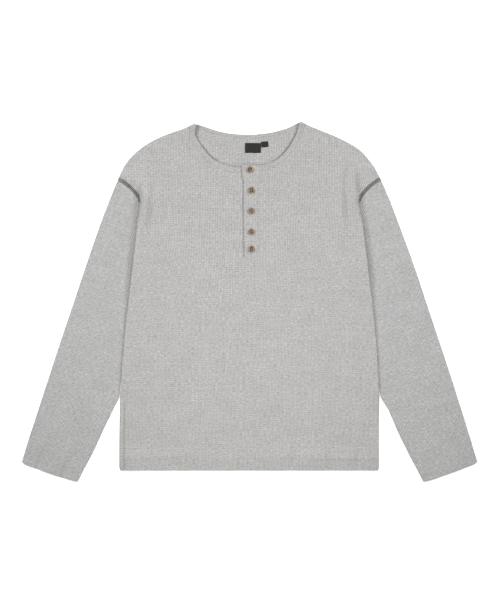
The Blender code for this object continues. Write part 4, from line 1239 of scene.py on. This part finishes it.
def make_cuff_stitching(side, cloths, shown, mat):
    """Stitching round a cuff."""
    bm = bmesh.new()
    line = at_distance(shown, CUFF_STITCH)
    upper = slice(FOLD_POINTS // 2 + 2, FOLD_POINTS // 2 + SLEEVE_COLUMNS - 3)
    stitch_line(bm, cloths, line[upper, :2], 3.0, 0.7)
    stitch_line(bm, cloths, line[upper, :2], 3.0, 0.7, side=-1, sink=0.3)
    obj = finished_piece(f"cuff_stitching_{side}", bm, mat)


LADDER_WIDTH = 6.0       # flat seam at the armhole, between its outer needles
LADDER_PITCH = 1.9
LADDER_THREAD = 1.2


def ladder_rung(bm, cloths, points, side, width):
    """One thread across the seam, over the points given in plan."""
    spots = [cloths.surface(*p, side) for p in points]
    for (a, up_a), (b, up_b) in zip(spots, spots[1:]):
        if a is None or b is None or np.linalg.norm(a - b) > 9:
            continue
        up = up_a + up_b
        lift = np.array([0, 0, side * 0.2])
        lay_stitch(bm, a + lift, b + lift, up, width, width * 0.7)


def make_ladder(side, cloths, mat):
    """Flat cover-stitched seam in dark thread over the armhole, on the front and under the back."""
    _, sign = SIDES[side]
    bm = bmesh.new()
    seam = side_seam(side)
    seam = seam[(seam[:, 1] >= LADDER_FROM_Y)]
    total = lengths(seam)[-1]
    count = int(total / LADDER_PITCH)
    centre = points_at(seam, (np.arange(count) + 0.5) / count)
    run = unit(np.gradient(centre, axis=0))
    square = np.stack([run[:, 1], -run[:, 0]], axis=1) * sign
    half = LADDER_WIDTH / 2
    fold_x = np.interp(FOLD_TOP_Y, [row[0] for row in BODY_EDGE], [row[SIDES[side][0]] for row in BODY_EDGE]) + 0.5
    for layer in (1, -1):
        for k in range(count):
            if layer == 1 and abs(centre[k, 0]) < fold_x:
                continue
            slant = run[k] * LADDER_PITCH * 0.35
            spots = [centre[k] + square[k] * half * s + slant * s for s in (-1.0, -0.5, 0.0, 0.5, 1.0)]
            if layer == 1:
                spots = [p for p in spots if abs(p[0]) > fold_x]
            ladder_rung(bm, cloths, spots, layer, LADDER_THREAD)
        for offset in (-half, 0.0, half):
            line = centre + square * offset
            if layer == 1:
                line = line[np.abs(line[:, 0]) > fold_x]
            stitch_line(bm, cloths, line, 2.9, LADDER_THREAD, side=layer, share=0.9, sink=-0.1)
    obj = finished_piece(f"armhole_seam_{side}", bm, mat)
    return obj


LADDER_FROM_Y = 192.0


# ---- buttons -----------------------------------------------------------------------------------
BUTTON_TURNS = (20.0, 64.0, 8.0, 41.0, 77.0)     # each is sewn on at its own angle, in degrees
BUTTON_PROFILE = (       # radius and height, from the middle of the underside to that of the dish
    (0.0, 0.0), (4.6, 0.0), (5.6, 0.25), (6.15, 0.75), (6.35, 1.3), (6.25, 1.85), (5.9, 2.3), (5.45, 2.55),
    (5.0, 2.6), (4.55, 2.5), (4.2, 2.25), (3.9, 1.95), (3.5, 1.8), (2.4, 1.75), (0.0, 1.75),
)
THREAD_WIDTH = 0.85
# out to this radius the button's top takes the darker horn, partly its own colour and partly painted shade
BUTTON_DISH_RADIUS = 3.5


def make_button(number, x, y, z, painted_shade_dish_horn, rim_horn, thread):
    """A dished horn button with four holes, and the thread that holds it."""
    bm = bmesh.new()
    chain = [bm.verts.new((r, 0, h)) for r, h in BUTTON_PROFILE]
    edges = [bm.edges.new(pair) for pair in zip(chain, chain[1:])]
    bmesh.ops.spin(bm, geom=chain + edges, axis=(0, 0, 1), angle=math.tau, steps=48, use_merge=True)
    bmesh.ops.remove_doubles(bm, verts=bm.verts, dist=1e-4)
    bmesh.ops.recalc_face_normals(bm, faces=bm.faces)
    for face in bm.faces:
        spot = face.calc_center_median()
        # the dish's faces take the darker horn: partly the horn's own darker colour, partly painted shade of the
        # dished middle
        face.material_index = int(math.hypot(spot.x, spot.y) > BUTTON_DISH_RADIUS or spot.z < BUTTON_THICK / 2)
    turn = math.radians(BUTTON_TURNS[number - 1])
    place = Matrix.Translation((x, y, z)) @ Matrix.Rotation(turn, 4, "Z")
    bmesh.ops.transform(bm, matrix=Matrix.Scale(MM, 4) @ place, verts=bm.verts)
    obj = finished_piece(f"horn_button_{number}", bm, painted_shade_dish_horn, rim_horn)
    holes = bmesh.new()
    for k in range(4):
        spot = Matrix.Rotation(math.pi * (k + 0.5) / 2, 4, "Z") @ Matrix.Translation((BUTTON_HOLE_OUT, 0, 1.2))
        bmesh.ops.create_cone(holes, cap_ends=True, segments=12, radius1=BUTTON_HOLE, radius2=BUTTON_HOLE,
                              depth=4.0, matrix=spot)
    bmesh.ops.transform(holes, matrix=Matrix.Scale(MM, 4) @ place, verts=holes.verts)
    cut_out(obj, holes)
    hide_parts(f"button_{number}")
    bm = bmesh.new()
    for sign in (-1, 1):
        ends = [place @ Vector((sign * 0.8, s * 1.2, 1.85)) for s in (-1, 1)]
        middle = place @ Vector((sign * 0.5, 0, 2.1))
        lay_stitch(bm, ends[0], middle, (0, 0, 1), THREAD_WIDTH, THREAD_WIDTH)
        lay_stitch(bm, middle, ends[1], (0, 0, 1), THREAD_WIDTH, THREAD_WIDTH)
    for k in range(4):
        foot = place @ (Matrix.Rotation(math.pi * (k + 0.5) / 2, 4, "Z") @ Vector((BUTTON_HOLE_OUT, 0, 0.2)))
        head = place @ (Matrix.Rotation(math.pi * (k + 0.5) / 2, 4, "Z") @ Vector((BUTTON_HOLE_OUT, 0, 1.7)))
        lay_stitch(bm, foot, head, (1, 0, 0), THREAD_WIDTH, THREAD_WIDTH)
    finished_piece(f"button_thread_{number}", bm, thread)


def cut_out(obj, holes):
    """Cuts the shapes in holes out of a piece and keeps the result as its mesh."""
    mesh = bpy.data.meshes.new("cutter")
    holes.to_mesh(mesh)
    holes.free()
    cutter = bpy.data.objects.new("cutter", mesh)
    bpy.context.scene.collection.objects.link(cutter)
    cut = obj.modifiers.new("holes", "BOOLEAN")
    cut.operation = "DIFFERENCE"
    cut.object = cutter
    keep_result(obj)
    bpy.data.objects.remove(cutter)
    obj.data.set_sharp_from_angle(angle=math.radians(40))


def make_buttons(cloths, painted_shade_dish_horn, rim_horn, thread):
    """The five buttons, each just above the upper strip."""
    for number, (x, y) in enumerate(BUTTONS, 1):
        around = [cloths.surface(x + 5 * math.cos(a), y + 5 * math.sin(a))[0][2] for a in np.arange(0, 6.2, 0.7)]
        make_button(number, x, y, max(around) + 0.1, painted_shade_dish_horn, rim_horn, thread)


def make_buttonholes(cloths, thread):
    """A bar of close stitches down each side of the slot under each button."""
    bm = bmesh.new()
    for x, y in BUTTONS:
        for k in range(-9, 10):
            for sign in (-1, 1):
                inner, outer = x + sign * 0.35, x + sign * 1.5
                spot, up = cloths.surface((inner + outer) / 2, y + k * 0.85)
                lift = np.array([0, 0, 0.12])
                half = np.array([(outer - inner) / 2, 0, 0])
                lay_stitch(bm, spot + lift - half, spot + lift + half, up, 0.8, 0.5)
        for end in (-1, 1):
            spot, up = cloths.surface(x, y + end * 8.3)
            lay_stitch(bm, spot + (-1.5, 0, 0.15), spot + (1.5, 0, 0.15), up, 1.0, 0.6)
    obj = finished_piece("buttonhole_stitching", bm, thread)


# ---- labels ------------------------------------------------------------------------------------
LABEL_SHOWN = 0.7        # thickness of the folded tape
LABEL_LOW = Z_FLOOR + WALL / 2 + LABEL_SHOWN / 2      # its middle, on the back
LABEL_STITCH = 2.2


def make_label(name, node, place, segments, woven, thread):
    """A folded woven tape with slightly raised edges, lying on the back, and its stitches."""
    left, middle_y, width, height, turn = place
    spin = math.radians(turn)

    def spot(u, v):
        """Point in millimetres at the shares u and v of the tape's width and height, from its middle."""
        x, y = (u + 0.5) * width, v * height
        z = LABEL_LOW + 0.25 * math.sin(3.0 * u + 1.0) ** 2 + 0.12 * soft_step(abs(v), 0.42, 0.5)
        z -= 0.1 * soft_step(max(abs(u), abs(v)), 0.465, 0.5)
        return Vector((left + x * math.cos(spin) - y * math.sin(spin), middle_y + x * math.sin(spin) + y * math.cos(spin), z))

    nx, ny = segments
    bm = bmesh.new()
    bmesh.ops.create_grid(bm, x_segments=nx, y_segments=ny, size=0.5)
    weave = bm.loops.layers.uv.new("weave")
    for face in bm.faces:
        for loop in face.loops:
            loop[weave].uv = ((loop.vert.co.x + 0.5) * width * MM, (loop.vert.co.y + 0.5) * height * MM)
    for vert in bm.verts:
        vert.co = spot(vert.co.x, vert.co.y) * MM
    obj = finished_piece(name, bm, woven)
    wall = obj.modifiers.new("tape", "SOLIDIFY")
    wall.thickness = LABEL_SHOWN * MM
    wall.offset = 0.0
    edge = obj.modifiers.new("edge", "BEVEL")
    edge.width = 0.15 * MM
    edge.segments = 2
    edge.limit_method = "ANGLE"
    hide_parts(node)
    bm = bmesh.new()
    count = int(width / LABEL_STITCH)
    for k in range(count):
        ends = [spot((k + share) / count - 0.5, 0.4) + Vector((0, 0, LABEL_SHOWN / 2 + 0.1)) for share in (0.15, 0.85)]
        lay_stitch(bm, *ends, (0, 0, 1), 0.5, 0.4)
    finished_piece(f"{name}_stitching", bm, thread)


# ---- materials ---------------------------------------------------------------------------------
def srgb(code):
    """A hex colour as linear RGBA."""
    channels = [int(code[k:k + 2], 16) / 255 for k in (1, 3, 5)]
    return tuple(c / 12.92 if c <= 0.04045 else ((c + 0.055) / 1.055) ** 2.4 for c in channels) + (1.0,)


def add_node(tree, kind, inputs=None, **settings):
    """Adds a node and gives its first output; inputs holds sockets, by name or number, a value or an output."""
    node = tree.nodes.new(kind)
    for key, value in settings.items():
        setattr(node, key, value)
    for key, value in (inputs or {}).items():
        if isinstance(value, bpy.types.NodeSocket):
            tree.links.new(value, node.inputs[key])
        else:
            node.inputs[key].default_value = value
    return node.outputs[0]


def new_material(name, **sockets):
    """A Principled material with constants on its sockets; returns it with its tree and shader."""
    mat = bpy.data.materials.new(name)
    mat.use_nodes = True
    tree = mat.node_tree
    shader = tree.nodes["Principled BSDF"]
    for socket, value in sockets.items():
        shader.inputs[socket.replace("_", " ").title().replace("Ior", "IOR")].default_value = value
    return mat, tree, shader


WALE_SHARE = 0.54        # how strongly the ribs along the grain stand out
COURSE_SHARE = 0.18      # the same for the cross ribs
CROSS_SHARE = -0.18      # ribs and cross ribs are level where they meet
WAFFLE_DEPTH = 0.55      # mm
GRAIN_STRAY = 0.020      # metres that the grain wanders as the cloth lies
CHEST_LINE = (-0.05, 0.15)   # metres: between these heights the ribs lie closer and closer, downwards
FLECK = (150.0, 620.0)   # flecks of the heather yarn per metre, along and across the yarn
BARRE = (14.0, 170.0)    # streaks of thicker and thinner yarn per metre, along and across the courses


def waffle_knit(name, wale, low_wale, course, shade, tint):
    """Heather-grey cotton waffle: square hollows between soft ribs, dull, with melange flecks.

    wale is the distance in mm between ribs along the grain above the chest line, low_wale below it,
    and course the distance between cross ribs. shade is how much painted shade darkens the colour in the
    hollows, and tint the share of red, green and blue that the whole dye lot keeps.
    """
    mat, tree, shader = new_material(name, roughness=0.92, sheen_weight=0.18, sheen_roughness=0.55,
                                     specular_ior_level=0.15)
    flat = add_node(tree, "ShaderNodeUVMap", uv_map="flat_cut")
    stray = add_node(tree, "ShaderNodeTexNoise", {"Vector": flat, "Scale": 5.5, "Detail": 2.0})
    place = add_node(tree, "ShaderNodeVectorMath", {0: stray.node.outputs["Color"], 1: (GRAIN_STRAY, GRAIN_STRAY, 0.0),
                                                    2: flat}, operation="MULTIPLY_ADD")
    axes = add_node(tree, "ShaderNodeSeparateXYZ", {0: place}).node.outputs
    rate = add_node(tree, "ShaderNodeMapRange", {
        "Value": axes[1], "From Min": CHEST_LINE[0], "From Max": CHEST_LINE[1],
        "To Min": math.tau / (low_wale * MM), "To Max": math.tau / (wale * MM)}, interpolation_type="SMOOTHSTEP")
    across = add_node(tree, "ShaderNodeMath", {0: axes[0], 1: rate}, operation="MULTIPLY")
    ribs = add_node(tree, "ShaderNodeMath", {0: across}, operation="COSINE")
    along = add_node(tree, "ShaderNodeMath", {0: axes[1], 1: math.tau / (course * MM)}, operation="MULTIPLY")
    cross_ribs = add_node(tree, "ShaderNodeMath", {0: along}, operation="COSINE")
    share = add_node(tree, "ShaderNodeMath", {0: cross_ribs, 1: CROSS_SHARE, 2: WALE_SHARE}, operation="MULTIPLY_ADD")
    low = add_node(tree, "ShaderNodeMath", {0: cross_ribs, 1: COURSE_SHARE}, operation="MULTIPLY")
    relief = add_node(tree, "ShaderNodeMath", {0: ribs, 1: share, 2: low}, operation="MULTIPLY_ADD")
    # painted shade: the colour darkens in the waffle's hollows, by up to shade
    painted_hollow_shade = add_node(tree, "ShaderNodeMapRange", {"Value": relief, "From Min": -0.9, "From Max": 0.54,
                                                   "To Min": 1.0 - shade, "To Max": 1.0})
    yarn = add_node(tree, "ShaderNodeMapping", {"Vector": flat, "Scale": (*FLECK, 1.0)})
    fleck = add_node(tree, "ShaderNodeTexNoise", {"Vector": yarn, "Scale": 1.0, "Detail": 3.0, "Roughness": 0.6})
    blend = add_node(tree, "ShaderNodeMapRange", {"Value": fleck, "From Min": 0.3, "From Max": 0.7})
    yarns = add_node(tree, "ShaderNodeMix", {0: blend, 6: srgb("#A3A2A2"), 7: srgb("#D2D0CD")},
                     data_type="RGBA").node.outputs[2]
    dye = add_node(tree, "ShaderNodeTexNoise", {"Vector": flat, "Scale": 210.0}).node.outputs["Color"]
    cast = add_node(tree, "ShaderNodeVectorMath", {0: dye, 1: (0.18, 0.0, 0.22), 2: tint},
                    operation="MULTIPLY_ADD")
    yarns = add_node(tree, "ShaderNodeVectorMath", {0: yarns, 1: cast}, operation="MULTIPLY")
    tuft = add_node(tree, "ShaderNodeTexNoise", {"Vector": flat, "Scale": 330.0, "Detail": 2.0})
    tufts = add_node(tree, "ShaderNodeMapRange", {"Value": tuft, "From Min": 0.3, "From Max": 0.7,
                                                  "To Min": 0.93, "To Max": 1.07})
    patch = add_node(tree, "ShaderNodeTexNoise", {"Vector": flat, "Scale": 30.0, "Detail": 3.0})
    patches = add_node(tree, "ShaderNodeMapRange", {"Value": patch, "From Min": 0.3, "From Max": 0.7,
                                                    "To Min": 0.965, "To Max": 1.035})
    streak = add_node(tree, "ShaderNodeMapping", {"Vector": flat, "Scale": (*BARRE, 1.0)})
    uneven = add_node(tree, "ShaderNodeTexNoise", {"Vector": streak, "Scale": 1.0, "Detail": 2.0})
    barre = add_node(tree, "ShaderNodeMapRange", {"Value": uneven, "From Min": 0.3, "From Max": 0.7,
                                                  "To Min": 0.955, "To Max": 1.045})
    # painted seam shade: darkens the knit's colour by up to 0.3 in seam grooves and along the hem and neck seams
    painted_seam_shade = add_node(tree, "ShaderNodeAttribute", attribute_name="painted_seam_shade").node.outputs["Fac"]
    seam = add_node(tree, "ShaderNodeMath", {0: painted_seam_shade, 1: -0.3, 2: 1.0}, operation="MULTIPLY_ADD")
    dimmed = painted_hollow_shade
    for factor in (tufts, patches, barre, seam):
        dimmed = add_node(tree, "ShaderNodeMath", {0: dimmed, 1: factor}, operation="MULTIPLY")
    colour = add_node(tree, "ShaderNodeVectorMath", {0: yarns, 3: dimmed}, operation="SCALE")
    tree.links.new(colour, shader.inputs["Base Color"])
    fuzz = add_node(tree, "ShaderNodeTexNoise", {"Vector": flat, "Scale": 1800.0, "Detail": 2.0})
    height = add_node(tree, "ShaderNodeMath", {0: fuzz, 1: 0.25, 2: relief}, operation="MULTIPLY_ADD")
    bump = add_node(tree, "ShaderNodeBump", {"Height": height, "Strength": 0.6, "Distance": WAFFLE_DEPTH * MM})
    tree.links.new(bump, shader.inputs["Normal"])
    return mat


def sewing_thread(name, code, light, roughness=0.75):
    """Spun polyester thread: a slight lustre, and painted highlights where its twist would catch light."""
    mat, tree, shader = new_material(name, roughness=roughness, sheen_weight=0.1, specular_ior_level=0.3)
    spot = add_node(tree, "ShaderNodeTexCoord").node.outputs["Object"]
    twist = add_node(tree, "ShaderNodeTexNoise", {"Vector": spot, "Scale": 900.0, "Detail": 1.0})
    blend = add_node(tree, "ShaderNodeMapRange", {"Value": twist, "From Min": 0.35, "From Max": 0.75})
    # painted highlight: the lighter colour is mixed in where the noise says the twist catches light
    colour = add_node(tree, "ShaderNodeMix", {0: blend, 6: srgb(code), 7: srgb(light)}, data_type="RGBA")
    tree.links.new(colour.node.outputs[2], shader.inputs["Base Color"])
    bump = add_node(tree, "ShaderNodeBump", {"Height": twist, "Strength": 0.4, "Distance": 0.0002})
    tree.links.new(bump, shader.inputs["Normal"])
    return mat


def polished_horn(name, dark, middle, light, roughness):
    """Horn of mixed tan and dark streaks, turned and polished to a soft gloss."""
    mat, tree, shader = new_material(name, roughness=roughness, specular_ior_level=0.4)
    spot = add_node(tree, "ShaderNodeTexCoord").node.outputs["Object"]
    streaks = add_node(tree, "ShaderNodeTexNoise", {"Vector": spot, "Scale": 380.0, "Detail": 4.0, "Distortion": 1.2})
    colour = add_node(tree, "ShaderNodeValToRGB", {0: streaks})
    stops = colour.node.color_ramp.elements
    stops[0].position, stops[0].color = 0.34, srgb(dark)
    stops[1].position, stops[1].color = 0.66, srgb(light)
    stops.new(0.5).color = srgb(middle)
    tree.links.new(colour, shader.inputs["Base Color"])
    bump = add_node(tree, "ShaderNodeBump", {"Height": streaks, "Strength": 0.15, "Distance": 0.0002})
    tree.links.new(bump, shader.inputs["Normal"])
    return mat


LABEL_THREADS = 1700.0   # ribs of the satin weave per metre


def woven_label():
    """Black damask-woven polyester tape: fine ribs with a faint satin sheen."""
    mat, tree, shader = new_material("black_label_weave", roughness=0.62, sheen_weight=0.3, specular_ior_level=0.35)
    weave = add_node(tree, "ShaderNodeUVMap", uv_map="weave")
    axes = add_node(tree, "ShaderNodeSeparateXYZ", {0: weave}).node.outputs
    turns = add_node(tree, "ShaderNodeMath", {0: axes[1], 1: math.tau * LABEL_THREADS}, operation="MULTIPLY")
    rib = add_node(tree, "ShaderNodeMath", {0: turns}, operation="COSINE")
    spread = add_node(tree, "ShaderNodeMapRange", {"Value": rib, "From Min": -1.0, "From Max": 1.0})
    colour = add_node(tree, "ShaderNodeMix", {0: spread, 6: srgb("#0B0B0D"), 7: srgb("#1A1B1D")}, data_type="RGBA")
    tree.links.new(colour.node.outputs[2], shader.inputs["Base Color"])
    bump = add_node(tree, "ShaderNodeBump", {"Height": rib, "Strength": 0.5, "Distance": 0.0001})
    tree.links.new(bump, shader.inputs["Normal"])
    return mat


# ---- stage, light and camera -------------------------------------------------------------------
CAMERA_AT = (0.00127, 0.00302, 2.7625)
LENS = 85.0
CHEST = (0.0, 0.02, 0.0)


def make_stage():
    """A plain white floor that glows a little, so that it stays clean under soft light."""
    bm = bmesh.new()
    bmesh.ops.create_grid(bm, x_segments=1, y_segments=1, size=6.0)
    mesh = bpy.data.meshes.new("floor")
    bm.to_mesh(mesh)
    bm.free()
    mat, _, shader = new_material("white_paper", roughness=0.9, specular_ior_level=0.1)
    shader.inputs["Base Color"].default_value = srgb("#F2F2F2")
    shader.inputs["Emission Color"].default_value = (1.0, 1.0, 1.0, 1.0)
    shader.inputs["Emission Strength"].default_value = 0.5
    mesh.materials.append(mat)
    floor = bpy.data.objects.new("floor", mesh)
    floor.location = (0, 0, -0.0001)
    bpy.context.scene.collection.objects.link(floor)


def add_softbox(name, place, size, energy):
    """A round soft lamp that looks at the chest."""
    lamp = bpy.data.lights.new(name, "AREA")
    lamp.shape = "DISK"
    lamp.size = size
    lamp.energy = energy
    softbox = bpy.data.objects.new(name, lamp)
    softbox.location = place
    softbox.rotation_euler = (Vector(place) - Vector(CHEST)).to_track_quat("Z", "Y").to_euler()
    softbox.visible_camera = False
    bpy.context.scene.collection.objects.link(softbox)


def make_light():
    """A broad soft lamp beyond each shoulder, a weak one over the waist, and an even pale sky."""
    add_softbox("left_softbox", (-1.2, 0.6, 1.2), 0.6, 18.8)
    add_softbox("right_softbox", (1.2, 0.6, 1.2), 0.6, 17.3)
    add_softbox("top_softbox", (0.0, -0.3, 0.7), 0.3, 2.03)
    world = bpy.data.worlds.new("pale_sky")
    world.use_nodes = True
    world.node_tree.nodes["Background"].inputs["Color"].default_value = (1.0, 1.0, 1.0, 1.0)
    world.node_tree.nodes["Background"].inputs["Strength"].default_value = 0.2
    bpy.context.scene.world = world


def make_camera():
    """Straight above the shirt."""
    data = bpy.data.cameras.new("camera")
    data.lens = LENS
    data.sensor_width = 36.0
    camera = bpy.data.objects.new("camera", data)
    camera.location = CAMERA_AT
    bpy.context.scene.collection.objects.link(camera)
    bpy.context.scene.camera = camera
    bpy.context.scene.view_settings.view_transform = "Standard"


def main():
    knit = waffle_knit("heather_waffle_knit", 3.07, 2.63, 3.6, 0.385, (0.91, 1.0, 0.89))
    # the sleeves' copy has closer ribs and paints deeper shade into its hollows
    sleeve_knit = waffle_knit("heather_waffle_sleeve", 2.66, 2.66, 3.28, 0.48, (0.933, 1.034, 0.934))
    grey_thread = sewing_thread("grey_sewing_thread", "#A9A8A6", "#C4C2BF")
    dark_thread = sewing_thread("charcoal_sewing_thread", "#222424", "#5E605E")
    button_thread = sewing_thread("button_thread", "#D8D5CF", "#F4F2EC")
    # the dish's horn is darker: partly its own colour, partly painted shade
    painted_shade_dish_horn = polished_horn("horn_dish_painted_shade", "#191312", "#2C2321", "#4C3F35", 0.6)
    rim_horn = polished_horn("horn_rim", "#5B4C40", "#927C62", "#C9AE7A", 0.34)
    woven = woven_label()
    back = make_back(knit)
    left, left_points = make_sleeve("left", sleeve_knit)
    right, right_points = make_sleeve("right", sleeve_knit)
    front, grid = make_front(knit)
    band, band_edges, band_seams = make_neckband(grid[-1], knit)
    lower, upper = make_placket(grid, knit)
    cloths = Cloths([back, left, right, front, band, lower, upper])
    make_hem_stitching(cloths, grid, grey_thread)
    make_cuff_stitching("left", cloths, left_points, grey_thread)
    make_cuff_stitching("right", cloths, right_points, grey_thread)
    make_ladder("left", cloths, dark_thread)
    make_ladder("right", cloths, dark_thread)
    make_buttonholes(cloths, grey_thread)
    make_buttons(cloths, painted_shade_dish_horn, rim_horn, button_thread)
    make_label("woven_neck_label", "neck_label", NECK_LABEL, (32, 20), woven, dark_thread)
    make_label("woven_size_tab", "size_tab", SIZE_TAB, (14, 12), woven, dark_thread)
    make_stage()
    make_light()
    make_camera()


main()
